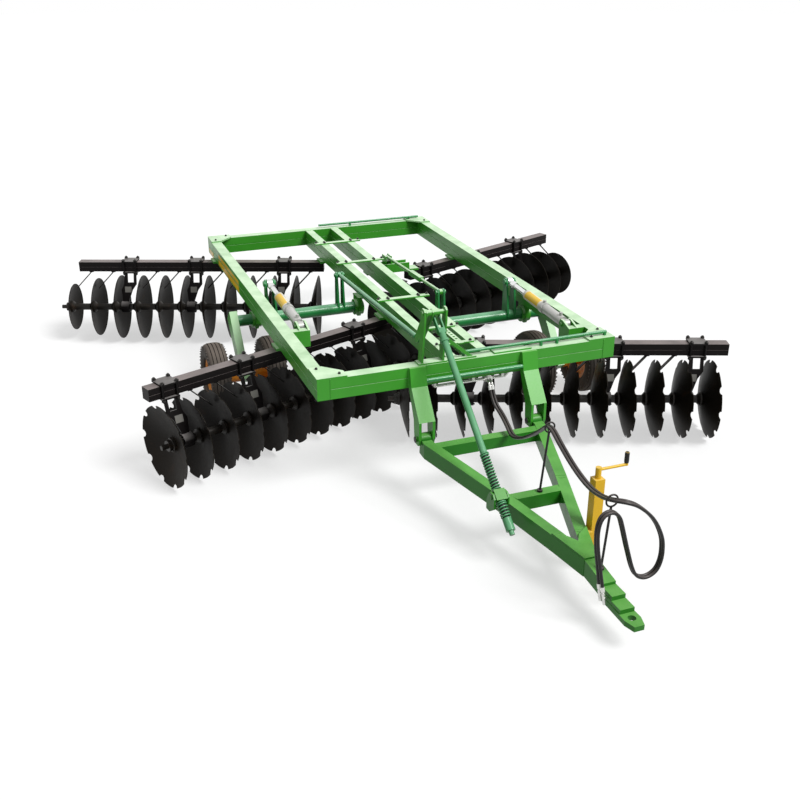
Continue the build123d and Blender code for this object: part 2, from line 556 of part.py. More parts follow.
for side_name, sign, shaft_y in (("left", -1, LEFT_SHAFT_Y), ("right", 1, RIGHT_SHAFT_Y)):
    arm_x = sign * ARM_X
    lever_x = sign * LEVER_X
    wheel_y = shaft_y - WHEEL_LEAD
    inner_end = -150.0 if sign < 0 else 205.0
    with BuildPart() as shaft:
        cross_bar(sorted((inner_end, arm_x - sign * ARM_THICKNESS / 2)), shaft_y, SHAFT_Z, SHAFT_RADIUS)
        eye_y, eye_z = lever_plates(shaft_y, lever_x, LEVER_GAP, LEVER_LENGTH, LEVER_LEAN, 62, 34)
        if sign < 0:
            lever_plates(shaft_y, LINK_X, LINK_GAP, LINK_LEVER, LINK_LEAN, 52, 26)
        else:
            lever_plates(shaft_y, RIGHT_LINK_X, LINK_GAP, RIGHT_LEVER, 0, 50, 26, LINK_PIN)
    write(shaft.part, f"rockshaft_{side_name}")

    # Arm from the shaft's end down and forward to the axle that carries the twin wheels
    with BuildPart() as arm:
        along = Vector(0, -WHEEL_LEAD, WHEEL_Z - SHAFT_Z).normalized()
        across = Vector(0, along.Z, -along.Y)
        a = Vector(0, shaft_y, SHAFT_Z) - along * 70
        b = Vector(0, wheel_y, WHEEL_Z) + along * 60
        corners = [a + across * 74, b + across * 54, b - across * 54, a - across * 74]
        side_plate(arm_x, [(corner.Y, corner.Z) for corner in corners], ARM_THICKNESS)
        stub = OUTER_WHEEL_X - ARM_X + 60
        cross_bar((arm_x - stub, arm_x + stub), wheel_y, WHEEL_Z, AXLE_RADIUS)
    write(arm.part, f"wheel_arm_{side_name}")

    with BuildPart() as tyres:
        for x in (sign * INNER_WHEEL_X, sign * OUTER_WHEEL_X):
            with Locations((x, wheel_y, WHEEL_Z)):
                add(tyre_blank)
    write(tyres.part, f"tyres_{side_name}")

    with BuildPart() as rims:
        for x in (sign * INNER_WHEEL_X, sign * OUTER_WHEEL_X):
            turn = 180 if x > arm_x else 0
            with Locations(Location((x, wheel_y, WHEEL_Z), (0, 0, turn))):
                add(rim_blank)
    write(rims.part, f"rims_{side_name}")

    # Cylinder: rear eye between the lever's plates, front eye on the anchor's pin
    anchor_y = eye_y - ANCHOR_REACH
    anchor_z = eye_z - ANCHOR_DROP
    front = Vector(lever_x, anchor_y, anchor_z)
    rear = Vector(lever_x, eye_y, eye_z)
    aim = (rear - front).normalized()
    gland = front + aim * 700
    with BuildPart() as barrel:
        bar(front + aim * 52, gland, BARREL_RADIUS)
        bar(front + aim * 350, front + aim * 396, BARREL_RADIUS + 8)
        bar(front, front + aim * 60, 26)
        cross_bar((lever_x - EYE_WIDTH / 2, lever_x + EYE_WIDTH / 2), anchor_y, anchor_z, EYE_RADIUS)
        cross_bar((lever_x - EYE_WIDTH, lever_x + EYE_WIDTH), anchor_y, anchor_z, PIN_RADIUS + PIN_FIT,
                  Mode.SUBTRACT)
        for at in (90, 372):
            port = front + aim * at
            bar(port, port + Vector(0, 0, BARREL_RADIUS + 26), 14)
        bar(gland - aim * 320, gland + aim * 30, ROD_RADIUS + 3, Mode.SUBTRACT)
    write(barrel.part, f"barrel_{side_name}")

    with BuildPart() as rod:
        bar(gland - aim * 80, rear - aim * 20, ROD_RADIUS)
        bar(rear - aim * 132, rear - aim * 74, ROD_RADIUS + 10)
        cross_bar((lever_x - EYE_WIDTH / 2, lever_x + EYE_WIDTH / 2), eye_y, eye_z, EYE_RADIUS)
        cross_bar((lever_x - EYE_WIDTH, lever_x + EYE_WIDTH), eye_y, eye_z, PIN_RADIUS, Mode.SUBTRACT)
    write(rod.part, f"rod_{side_name}")

# Brackets under and beside the frame: shaft bearings and cylinder anchors
ANCHOR_Y = {-1: eye_y + STAGGER - ANCHOR_REACH, 1: eye_y - ANCHOR_REACH}
ANCHOR_Z = eye_z - ANCHOR_DROP
ANCHOR_EAR = 16.0
with BuildPart() as frame_brackets:
    for x, shaft_y in ((LEFT_RAIL_X, LEFT_SHAFT_Y), (RIGHT_RAIL_X, RIGHT_SHAFT_Y),
                       (LEFT_BEAM_X - 60, LEFT_SHAFT_Y), (RIGHT_BEAM_X + 90, RIGHT_SHAFT_Y)):
        side_plate(x, ((shaft_y - 80, FRAME_BOTTOM), (shaft_y + 80, FRAME_BOTTOM), (shaft_y + 80, SHAFT_Z - 20),
                       (shaft_y + 40, SHAFT_Z - 80), (shaft_y - 40, SHAFT_Z - 80), (shaft_y - 80, SHAFT_Z - 20)),
                   SHAFT_BEARING)
        cross_bar((x - 40, x + 40), shaft_y, SHAFT_Z, SHAFT_RADIUS + 22)
        cross_bar((x - 40, x + 40), shaft_y, SHAFT_Z, SHAFT_RADIUS + RUNNING, Mode.SUBTRACT)
    # Seats of the two inner bearings under their centre beams
    block((LEFT_BEAM_X - 80, LEFT_BEAM_X + 30), (LEFT_SHAFT_Y - 80, LEFT_SHAFT_Y + 80),
          (FRAME_BOTTOM - PLATE, FRAME_BOTTOM))
    block((RIGHT_BEAM_X - 30, RIGHT_BEAM_X + 110), (RIGHT_SHAFT_Y - 80, RIGHT_SHAFT_Y + 80),
          (FRAME_BOTTOM - PLATE, FRAME_BOTTOM))
    for side in (-1, 1):
        x = side * LEVER_X
        rail_face = side * (FRAME_WIDTH / 2 - RAIL_WIDTH)
        y = ANCHOR_Y[side]
        ear = EYE_WIDTH / 2 + SIDE_GAP + ANCHOR_EAR / 2
        for offset in (-ear, ear):
            side_plate(x + offset, ((y - 130, FRAME_BOTTOM + 20), (y + 30, FRAME_BOTTOM + 20), (y + 40, ANCHOR_Z + 10),
                                    (y + 20, ANCHOR_Z + 42), (y - 20, ANCHOR_Z + 42), (y - 130, FRAME_TOP)), ANCHOR_EAR)
        reach = sorted((x - side * (ear + ANCHOR_EAR / 2), rail_face))
        block(reach, (y - 130, y - 60), (FRAME_BOTTOM + 20, FRAME_TOP))
        cross_bar((x - ear - 18, x + ear + 18), y, ANCHOR_Z, PIN_RADIUS)
write(frame_brackets.part, "frame_brackets")

# Link rod from the left shaft's lever to the rocker on the mast
LINK_REAR = (LEFT_SHAFT_Y + LINK_LEVER * sin(radians(LINK_LEAN)), SHAFT_Z + LINK_LEVER * cos(radians(LINK_LEAN)))
with BuildPart() as link_rod:
    link_near = Vector(LINK_X, *LINK_FRONT)
    link_far = Vector(LINK_X, *LINK_REAR)
    link_aim = (link_far - link_near).normalized()
    bar(link_near + link_aim * 12, link_far - link_aim * 12, LINK_EYE_WIDTH / 2)
    bar(link_near + link_aim * LINK_NECK, link_far - link_aim * LINK_NECK, LINK_RADIUS)
    for y, z in (LINK_FRONT, LINK_REAR):
        cross_bar((LINK_X - LINK_EYE_WIDTH / 2, LINK_X + LINK_EYE_WIDTH / 2), y, z, LINK_EYE)
    cross_bar((LINK_X - LINK_EYE_WIDTH, LINK_X + LINK_EYE_WIDTH), *LINK_FRONT, LINK_PIN + PIN_FIT, Mode.SUBTRACT)
    cross_bar((LINK_X - LINK_EYE_WIDTH, LINK_X + LINK_EYE_WIDTH), *LINK_REAR, LINK_PIN, Mode.SUBTRACT)
write(link_rod.part, "link_rod")



def arm_plate(x, start, start_half, end, end_half, thickness):
    """Plate square to X that tapers from one pin to another, with its ends cut round."""
    along = Vector(0, end[0] - start[0], end[1] - start[1]).normalized()
    across = Vector(0, -along.Z, along.Y)
    corners = []
    for pin, half, way in ((start, start_half, -1), (end, end_half, 1)):
        centre = Vector(0, pin[0], pin[1])
        for side, out in ((way, 0), (0.6 * way, 0.8), (-0.6 * way, 0.8), (-way, 0)):
            corners.append(centre + across * (half * side) + along * (half * out * way))
    side_plate(x, [(corner.Y, corner.Z) for corner in corners], thickness)


PIVOT = (ROCKER_Y, ROCKER_Z)
with BuildPart() as rocker:
    sleeve = (LINK_X - LINK_GAP / 2 - ROCKER_PLATE, SPRING_X + CRANK_WIDTH / 2)
    cross_bar(sleeve, ROCKER_Y, ROCKER_Z, 24)
    for side in (-1, 1):
        arm_plate(LINK_X + side * (LINK_GAP + ROCKER_PLATE) / 2, PIVOT, 32, LINK_FRONT, 24, ROCKER_PLATE)
    cross_bar((LINK_X - LINK_GAP / 2 - ROCKER_PLATE, LINK_X + LINK_GAP / 2 + ROCKER_PLATE), *LINK_FRONT, LINK_PIN)
    # Short crank of the spring rod: its tip stands between the fork's prongs
    arm_plate(SPRING_X, PIVOT, 21, CRANK_TIP, 17, CRANK_WIDTH)
    cross_bar((sleeve[0] - 5, sleeve[1] + 5), ROCKER_Y, ROCKER_Z, PIN_RADIUS + PIN_FIT, Mode.SUBTRACT)
write(rocker.part, "rocker")

# Spring rod from the rocker down through the trunnion on the drawbar
FORK_GAP = CRANK_WIDTH + 2 * SIDE_GAP
FORK_PRONG = 10.0
FORK_LENGTH = 160.0
FORK_HALF = 16.0
TUBE_RADIUS = 25.0
STUD_RADIUS = 18.0
STUD_REACH = 282.0
UPPER_SPRING = 285.0
LOWER_SPRING = 120.0
trunnion = Vector(SPRING_X, TRUNNION_Y, TRUNNION_Z)
tip = Vector(SPRING_X, *CRANK_TIP)
slope = (trunnion - tip).normalized()
run = (trunnion - tip).length
lean = Vector(0, slope.Z, -slope.Y)


def on_rod(along, off=0.0, x=SPRING_X):
    """Point beside the spring rod, measured from its fork's pin."""
    point = tip + slope * along + lean * off
    return (x, point.Y, point.Z)


UPPER_END = -TRUNNION_BLOCK / 2
UPPER_START = UPPER_END - UPPER_SPRING
LOWER_START = TRUNNION_BLOCK / 2
LOWER_END = LOWER_START + LOWER_SPRING
with BuildPart() as spring_rod:
    bar(on_rod(FORK_LENGTH - 10), on_rod(run + UPPER_START), TUBE_RADIUS)
    bar(on_rod(run + UPPER_START), on_rod(run + STUD_REACH), STUD_RADIUS)
    bar(on_rod(212), on_rod(232), TUBE_RADIUS + 8)
    for side in (-1, 1):
        prong_x = SPRING_X + side * (FORK_GAP + FORK_PRONG) / 2
        corners = (on_rod(-20, FORK_HALF - 6), on_rod(-20, 6 - FORK_HALF), on_rod(-12, -FORK_HALF),
                   on_rod(FORK_LENGTH, -22), on_rod(FORK_LENGTH, 22), on_rod(-12, FORK_HALF))
        side_plate(prong_x, [(corner[1], corner[2]) for corner in corners], FORK_PRONG)
        face = SPRING_X + side * (FORK_GAP / 2 + FORK_PRONG)
        cross_bar(sorted((face, face + side * 5)), tip.Y, tip.Z, 13)
    box_bar(on_rod(FORK_LENGTH - 40), on_rod(FORK_LENGTH + 5), FORK_GAP + 1, 44)
    bar(on_rod(run + LOWER_END + 2), on_rod(run + LOWER_END + 92), 32)
write(spring_rod.part, "spring_rod")

# Springs above and below the trunnion: coils as rings on a thin sleeve
# from, to, coils, coil radius, wire radius
SPRINGS = ((UPPER_START, UPPER_END, 17, 25.0, 5.0), (LOWER_START, LOWER_END, 6, 31.0, 5.5))
with BuildPart() as springs:
    for start, end, coils, coil_radius, wire_radius in SPRINGS:
        base = Plane(origin=on_rod(run + start + FIT), z_dir=slope)
        length = end - start - 2 * FIT
        pitch = length / coils
        with Locations(base.location):
            Cylinder(coil_radius, length, align=(Align.CENTER, Align.CENTER, Align.MIN))
        for i in range(coils):
            with Locations(base.location * Location((0, 0, (i + 0.5) * pitch))):
                Torus(coil_radius, wire_radius)
        with Locations(base.location):
            Cylinder(STUD_RADIUS + FIT, length, align=(Align.CENTER, Align.CENTER, Align.MIN), mode=Mode.SUBTRACT)
write(springs.part, "springs")

with BuildPart() as trunnion_block:
    block_plane = Plane(origin=trunnion, x_dir=(1, 0, 0), z_dir=slope)
    with Locations(block_plane.location):
        Box(TRUNNION_BLOCK, TRUNNION_BLOCK, TRUNNION_BLOCK)
    for side in (-1, 1):
        face = SPRING_X + side * TRUNNION_BLOCK / 2
        cross_bar(sorted((face - side * 2, face + side * 24)), TRUNNION_Y, TRUNNION_Z, TRUNNION_PIN)
    with Locations(block_plane.location):
        Cylinder(STUD_RADIUS + FIT, TRUNNION_BLOCK + 2, mode=Mode.SUBTRACT)
write(trunnion_block.part, "trunnion_block")

# Link on the right shaft's small lever, guided at its rear end beside the rear right gang beam
RIGHT_LINK_LENGTH = 1400.0
RIGHT_LINK_RISE = -60.0
RIGHT_TOP = (RIGHT_SHAFT_Y, SHAFT_Z + RIGHT_LEVER)
with BuildPart() as right_link:
    far = (RIGHT_LINK_X, RIGHT_TOP[0] + RIGHT_LINK_LENGTH, RIGHT_TOP[1] + RIGHT_LINK_RISE)
    near = (RIGHT_LINK_X, *RIGHT_TOP)
    bar(near, far, RIGHT_LINK_RADIUS)
    sleeve = [Vector(near) + (Vector(far) - Vector(near)) * share for share in (0.32, 0.52)]
    box_bar(sleeve[0], sleeve[1], 44, 44)
    cross_bar((RIGHT_LINK_X - LINK_EYE_WIDTH / 2, RIGHT_LINK_X + LINK_EYE_WIDTH / 2), *RIGHT_TOP, LINK_EYE)
    cross_bar((RIGHT_LINK_X - LINK_EYE_WIDTH, RIGHT_LINK_X + LINK_EYE_WIDTH), *RIGHT_TOP, LINK_PIN + PIN_FIT,
              Mode.SUBTRACT)
write(right_link.part, "right_link")

# Drawbar: two box arms, two cross members and a tongue
# y from the frame's front, z of the top, x of the middle line
ARM_STATIONS = ((-170.0, 462.0, BRACKET_X), (-250.0, 456.0, BRACKET_X), (-950.0, 408.0, 259.0),
                (-1530.0, 342.0, 87.0), (-1820.0, 305.0, 6.0))
ARM_BOSS_RADIUS = 44.0
TONGUE_START = -1818.0
ARM_BOSS = BRACKET_WIDTH / 2 - EAR - SIDE_GAP


def arm_at(station):
    """Middle line x, top z and sideways stretch of an arm at a station ahead of the frame."""
    for (y0, z0, x0), (y1, z1, x1) in zip(ARM_STATIONS, ARM_STATIONS[1:]):
        if y1 <= station <= y0:
            share = (station - y0) / (y1 - y0)
            stretch = hypot(x1 - x0, y1 - y0) / abs(y1 - y0)
            return x0 + (x1 - x0) * share, z0 + (z1 - z0) * share, stretch
    raise ValueError("no arm at this station")


def arm_face(station, outward):
    """X of an arm's outer face (outward 1) or inner face (outward -1), on the right."""
    middle, _, stretch = arm_at(station)
    return middle + outward * ARM_WIDTH / 2 * stretch


for name, side in (("left", -1), ("right", 1)):
    with BuildPart() as arm:
        points = [(side * x, FRONT_Y + station, top_z - ARM_DEPTH / 2) for station, top_z, x in ARM_STATIONS]
        for i, (start, end) in enumerate(zip(points, points[1:])):
            width = ARM_WIDTH if i else 2 * ARM_BOSS
            box_bar(start, end, width, ARM_DEPTH)
        for point in points[1:-1]:
            with Locations(point):
                Cylinder(ARM_WIDTH / 2 - 1, ARM_DEPTH - 4)
        x = side * BRACKET_X
        cross_bar((x - ARM_BOSS, x + ARM_BOSS), HINGE_Y, HINGE_Z, ARM_BOSS_RADIUS)
        cross_bar((x - ARM_BOSS, x + ARM_BOSS), HINGE_Y, HINGE_Z, PIN_RADIUS + PIN_FIT, Mode.SUBTRACT)
        # The arms meet on the machine's middle plane, and end where the tongue begins
        gone = (-600, 0) if side > 0 else (0, 600)
        block(gone, (FRONT_Y - 2300, FRONT_Y), (0, 600), Mode.SUBTRACT)
        block((-600, 600), (FRONT_Y - 2300, FRONT_Y + TONGUE_START), (0, 600), Mode.SUBTRACT)
    write(arm.part, f"drawbar_arm_{name}")

CROSS_REAR = (-336.0, -256.0)
CROSS_MID = (-1120.0, -1040.0)
for name, (y_front, y_back), z_top, depth in (("rear", CROSS_REAR, 450.0, 90.0), ("mid", CROSS_MID, 392.0, 100.0)):
    with BuildPart() as cross:
        front_x = arm_face(y_front, -1)
        back_x = arm_face(y_back, -1)
        with BuildSketch(Plane.XY.offset(z_top - depth)):
            with BuildLine():
                Polyline((-front_x, FRONT_Y + y_front), (front_x, FRONT_Y + y_front), (back_x, FRONT_Y + y_back),
                         (-back_x, FRONT_Y + y_back), close=True)
            make_face()
        extrude(amount=depth)
    write(cross.part, f"drawbar_cross_{name}")

# Tongue: gusset with a notch over the arms' meeting, box, and stepped hitch plates
TONGUE_TIP = FRONT_Y - 2385.0
TONGUE_WIDTH = 92.0
GUSSET_START = -1530.0
WELD_GAP = 0.3
NOSE_TOP = 194.0
NOSE_THICKNESS = 36.0
with BuildPart() as tongue:
    outline = ((-128, -1530), (-40, -1590), (0, -1650), (40, -1590), (128, -1530), (46, -1816), (-46, -1816))
    _, start_z, _ = arm_at(GUSSET_START)
    _, end_z, _ = arm_at(TONGUE_START)
    start = Vector(0, FRONT_Y + GUSSET_START, start_z)
    end = Vector(0, FRONT_Y + TONGUE_START, end_z)
    back = (start - end).normalized()
    gusset_plane = Plane(origin=start, x_dir=(1, 0, 0), z_dir=Vector(1, 0, 0).cross(back))
    gusset_plane = gusset_plane.offset(PLATE / 2 + 3.2)
    stretch = (end - start).length / (GUSSET_START - TONGUE_START)
    plate(gusset_plane, [(x, (station - GUSSET_START) * stretch) for x, station in outline], PLATE)
    half = TONGUE_WIDTH / 2
    side_plate(0, ((FRONT_Y + TONGUE_START - WELD_GAP, end_z + 2), (FRONT_Y - 2040, 274), (FRONT_Y - 2040, 168),
                   (FRONT_Y + TONGUE_START - WELD_GAP, 190)), TONGUE_WIDTH)
    # Stacked hitch plates: from, to, top, thickness, width
    for y_from, y_to, z_top, thickness, width in ((-1960.0, -2150.0, 254.0, 30.0, 96.0),
                                                  (-1980.0, -2250.0, 224.0, 30.0, 100.0)):
        block((-width / 2, width / 2), (FRONT_Y + y_to, FRONT_Y + y_from), (z_top - thickness, z_top))
    with BuildSketch(Plane.XY.offset(NOSE_TOP - NOSE_THICKNESS)):
        with BuildLine():
            Polyline((-50, FRONT_Y - 2010), (50, FRONT_Y - 2010), (56, HITCH_Y - 10), (34, TONGUE_TIP),
                     (-34, TONGUE_TIP), (-56, HITCH_Y - 10), close=True)
        make_face()
    extrude(amount=NOSE_THICKNESS)
    with Locations((0, HITCH_Y, NOSE_TOP - NOSE_THICKNESS / 2)):
        Cylinder(HITCH_RADIUS, NOSE_THICKNESS, mode=Mode.SUBTRACT)
write(tongue.part, "tongue")

# Ears that carry the trunnion: one on the left arm's top, one outside it on a side bracket
EAR_PLATE = 12.0
inner_x = SPRING_X + TRUNNION_BLOCK / 2 + SIDE_GAP + EAR_PLATE / 2
outer_x = SPRING_X - TRUNNION_BLOCK / 2 - SIDE_GAP - EAR_PLATE / 2
near_station = TRUNNION_Y - FRONT_Y + 46
far_station = TRUNNION_Y - FRONT_Y - 46
near_top = arm_at(near_station)[1] + 2.6
far_top = arm_at(far_station)[1] + 2.6
EAR_HEAD = ((TRUNNION_Y + 46, TRUNNION_Z + 6), (TRUNNION_Y + 22, TRUNNION_Z + 34), (TRUNNION_Y - 22, TRUNNION_Z + 34),
            (TRUNNION_Y - 46, TRUNNION_Z + 6))
with BuildPart() as trunnion_ears:
    side_plate(inner_x, ((TRUNNION_Y - 46, far_top), (TRUNNION_Y + 46, near_top), *EAR_HEAD), EAR_PLATE)
    side_plate(outer_x, ((TRUNNION_Y - 46, far_top - 20), (TRUNNION_Y + 20, 320), (TRUNNION_Y + 70, 320),
                         (TRUNNION_Y + 70, near_top - 6), *EAR_HEAD), EAR_PLATE)
    for x in (inner_x, outer_x):
        cross_bar((x - 20, x + 20), TRUNNION_Y, TRUNNION_Z, TRUNNION_PIN + PIN_FIT, Mode.SUBTRACT)
    stations = (TRUNNION_Y - FRONT_Y + 44, TRUNNION_Y - FRONT_Y + 70)
    with BuildSketch(Plane.XY.offset(330)):
        with BuildLine():
            Polyline((outer_x, FRONT_Y + stations[0]), (outer_x, FRONT_Y + stations[1]),
                     (-arm_face(stations[1], 1) - WELD_GAP, FRONT_Y + stations[1]),
                     (-arm_face(stations[0], 1) - WELD_GAP, FRONT_Y + stations[0]), close=True)
        make_face()
    extrude(amount=56)
write(trunnion_ears.part, "trunnion_ears")

# Stalks with rings that carry the hoses
RING_WIRE = 6.0
STALK_RADIUS = 8.0
# foot x, y from the frame's front, z; ring centre x, y, z; ring radius
STALKS = ((24.0, -1080.0, 392.0, 88.0, -1047.0, 857.0, 36.0), (6.0, -1925.0, 297.0, 38.0, -1925.0, 778.0, 40.0))
with BuildPart() as hose_stalks:
    for foot_x, foot_y, foot_z, ring_x, ring_y, ring_z, ring_radius in STALKS:
        foot = Vector(foot_x, FRONT_Y + foot_y, foot_z)
        ring = Vector(ring_x, FRONT_Y + ring_y, ring_z)
        aim = (ring - foot).normalized()
        bar(foot + Vector(0, 0, 4), ring - aim * ring_radius, STALK_RADIUS)
        with Locations(foot + Vector(0, 0, 8.5)):
            Cylinder(20, 16)
        with Locations(Plane(origin=ring, z_dir=(0, 1, 0)).location):
            Torus(ring_radius, RING_WIRE)
write(hose_stalks.part, "hose_stalks")

# Parking jack on the right arm: square tube with a crank head, and the leg inside it
JACK_TUBE = 70.0
JACK_WALL = 5.0
JACK_TOP = 700.0
JACK_BOTTOM = 222.0
LEG_CLEARANCE = 2.0
LEG = JACK_TUBE - 2 * JACK_WALL - 2 * LEG_CLEARANCE
with BuildPart() as jack_tube:
    block((JACK_X - JACK_TUBE / 2, JACK_X + JACK_TUBE / 2), (JACK_Y - JACK_TUBE / 2, JACK_Y + JACK_TUBE / 2),
          (JACK_BOTTOM, JACK_TOP))
    inside = JACK_TUBE / 2 - JACK_WALL
    block((JACK_X - inside, JACK_X + inside), (JACK_Y - inside, JACK_Y + inside), (JACK_BOTTOM - 1, JACK_TOP - 20),
          Mode.SUBTRACT)
    bar((JACK_X, JACK_Y, JACK_TOP - 1), (JACK_X, JACK_Y, JACK_TOP + 78), 20)
    bar((JACK_X, JACK_Y, JACK_TOP + 60), (JACK_X + 210, JACK_Y, JACK_TOP + 60), 10)
    bar((JACK_X + 204, JACK_Y, JACK_TOP + 55), (JACK_X + 204, JACK_Y, JACK_TOP + 150), 13)
    # Mount between the tube and the arm's outer face
    ahead = JACK_Y - FRONT_Y - 50
    behind = JACK_Y - FRONT_Y + 50
    face_x = JACK_X - JACK_TUBE / 2
    with BuildSketch(Plane.XY.offset(250)):
        with BuildLine():
            Polyline((arm_face(ahead, 1) + WELD_GAP, JACK_Y - 50), (face_x + 2, JACK_Y - 50),
                     (face_x + 2, JACK_Y + 50), (arm_face(behind, 1) + WELD_GAP, JACK_Y + 50), close=True)
        make_face()
    extrude(amount=80)
    inside = JACK_TUBE / 2 - JACK_WALL
    block((JACK_X - inside, JACK_X + inside), (JACK_Y - inside, JACK_Y + inside), (JACK_BOTTOM - 1, JACK_TOP - 20),
          Mode.SUBTRACT)
write(jack_tube.part, "jack_tube")

with BuildPart() as jack_leg:
    block((JACK_X - LEG / 2, JACK_X + LEG / 2), (JACK_Y - LEG / 2, JACK_Y + LEG / 2), (10, JACK_BOTTOM + 210))
    block((JACK_X - 70, JACK_X + 70), (JACK_Y - 60, JACK_Y + 60), (0, 12))
write(jack_leg.part, "jack_leg")

# Rigid pipes under the front rail, with the tee where the hoses start
PIPE_RADIUS = 7.0
PIPE_Z = 764.0
HOSE_RADIUS = 11.0
HOSE_APART = 24.0
# Start of the first hose, and the way its fitting points: straight away from the drawbar's hinge
HOSE_START = Vector(136.0, FRONT_Y - 30.0, 700.0)
HOSE_AWAY = Vector(0, HOSE_START.Y - HINGE_Y, HOSE_START.Z - HINGE_Z).normalized()
FERRULE_RADIUS = 14.0
FERRULE_LENGTH = 40.0
FACE_GAP = 0.4
with BuildPart() as pipes:
    for behind in (42.0, 66.0):
        y = FRONT_Y + behind
        cross_bar((-300, 290), y, PIPE_Z, PIPE_RADIUS)
        with Locations((290, y, PIPE_Z)):
            Sphere(PIPE_RADIUS)
        bar((290, y, PIPE_Z), (330, y, PIPE_Z + 40), PIPE_RADIUS)
    for x in (-296, 20, 268):
        block((x - 10, x + 10), (FRONT_Y + 34, FRONT_Y + 76), (PIPE_Z, FRAME_BOTTOM))
    block((HOSE_START.X - 22, HOSE_START.X + HOSE_APART + 22), (FRONT_Y + 34, FRONT_Y + 76),
          (PIPE_Z - 18, PIPE_Z + 14))
    for x in (HOSE_START.X, HOSE_START.X + HOSE_APART):
        joint = Vector(x, HOSE_START.Y, HOSE_START.Z) + HOSE_AWAY * (FERRULE_LENGTH + FACE_GAP)
        bend = joint + HOSE_AWAY * 14
        bar(joint, bend, 10)
        with Locations(bend):
            Sphere(10)
        bar(bend, (x, FRONT_Y + 36, PIPE_Z - 4), 10)
write(pipes.part, "pipes")

# Hoses from the tee over both stalks, round a loop and down to the couplers beside the tongue.
# x, y from the frame's front, z of the first hose, and the step from it to the second
ROUTE = (
    (136, -30, 700, HOSE_APART, 0, 0),
    (136, -80.4, 613.6, HOSE_APART, 0, 0),
    (166, -160, 546, HOSE_APART, 0, 0),
    (156, -285, 506, HOSE_APART, 0, 0),
    (130, -410, 484, HOSE_APART, 0, 0),
    (124, -540, 522, HOSE_APART, 0, 0),
    (132, -690, 616, HOSE_APART, 0, 0),
    (122, -860, 742, HOSE_APART, 0, 0),
    (76, -1047, 882, HOSE_APART, 0, 0),
    (80, -1210, 790, HOSE_APART, 0, 0),
    (88, -1390, 706, HOSE_APART, 0, 0),
    (84, -1570, 674, HOSE_APART, 0, 0),
    (62, -1730, 704, HOSE_APART, 0, 0),
    (22, -1880, 768, HOSE_APART, 0, 0),
    (32, -1962, 796, 20, 12, 0),
    (86, -2018, 802, 9, 24, 0),
    (172, -2022, 762, 0, HOSE_APART, 0),
    (290, -2022, 652, 0, HOSE_APART, 0),
    (364, -2022, 510, 0, HOSE_APART, 0),
    (380, -2022, 410, 0, HOSE_APART, 0),
    (376, -2022, 325, 0, HOSE_APART, 0),
    (346, -2022, 254, 0, HOSE_APART, 0),
    (275, -2022, 225, 0, HOSE_APART, 0),
    (204, -2022, 254, 0, HOSE_APART, 0),
    (164, -2022, 332, 0, HOSE_APART, 0),
    (132, -2022, 430, 0, HOSE_APART, 0),
    (100, -2022, 530, 0, HOSE_APART, 0),
    (66, -2022, 644, 0, HOSE_APART, 0),
    (38, -2022, 726, 0, HOSE_APART, 0),
    (-20, -2022, 766, 0, HOSE_APART, 0),
    (-84, -2024, 742, 0, HOSE_APART, 0),
    (-112, -2032, 664, 0, HOSE_APART, 0),
    (-114, -2052, 548, 0, 27, 0),
    (-104, -2082, 424, 0, 33, 0),
    (-92, -2104, 306, 0, 40, 0),
)
COUPLER_LENGTH = 120.0
COUPLER_RADIUS = 14.0


def corner_radii(points):
    """Arc radius at each inner point: 0.45 of the shorter run over the tangent of half the turn."""
    radii = []
    for before, point, after in zip(points, points[1:], points[2:]):
        into = point - before
        out = after - point
        turn = radians(into.get_angle(out))
        radii.append(0.45 * min(into.length, out.length) / tan(turn / 2))
    return radii


routes = []
for name, second in (("hose_first", 0), ("hose_second", 1)):
    points = [Vector(x + second * dx, FRONT_Y + y + second * dy, z + second * dz) for x, y, z, dx, dy, dz in ROUTE]
    radii = corner_radii(points)
    with BuildPart() as hose:
        with BuildLine() as path:
            FilletPolyline(*points, radius=radii)
        with BuildSketch(Plane(origin=points[0], z_dir=points[1] - points[0])):
            Circle(HOSE_RADIUS)
        sweep()
    length = path.wires()[0].length
    section = 3.14159265 * HOSE_RADIUS ** 2
    print(name, "length", round(length), "volume share", round(hose.part.volume / (section * length), 4),
          "radii", [round(radius) for radius in radii])
    write(hose.part, name)
    routes.append(points)

# Ferrules at the tee and couplers at the free ends
with BuildPart() as hose_ends:
    for points in routes:
        bar(points[0], points[0] + HOSE_AWAY * FERRULE_LENGTH, FERRULE_RADIUS)
        last = (points[-1] - points[-2]).normalized()
        bar(points[-1], points[-1] + last * COUPLER_LENGTH, COUPLER_RADIUS - 4)
        bar(points[-1], points[-1] + last * 34, COUPLER_RADIUS - 1)
        bar(points[-1] + last * 46, points[-1] + last * 92, COUPLER_RADIUS - 2.2)
write(hose_ends.part, "hose_ends")
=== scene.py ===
# %% [markdown]
# # A towed disc harrow
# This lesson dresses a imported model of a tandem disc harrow. The model already holds every rigid part in
# metres, with +X to one side, +Y to the rear and +Z up. What is left for this file is paint, rubber and steel,
# and the small things that a plain solid leaves out: coils, treads, bolts, weld beads and hoses.

import math

import bmesh
import bpy
from mathutils import Matrix, Vector


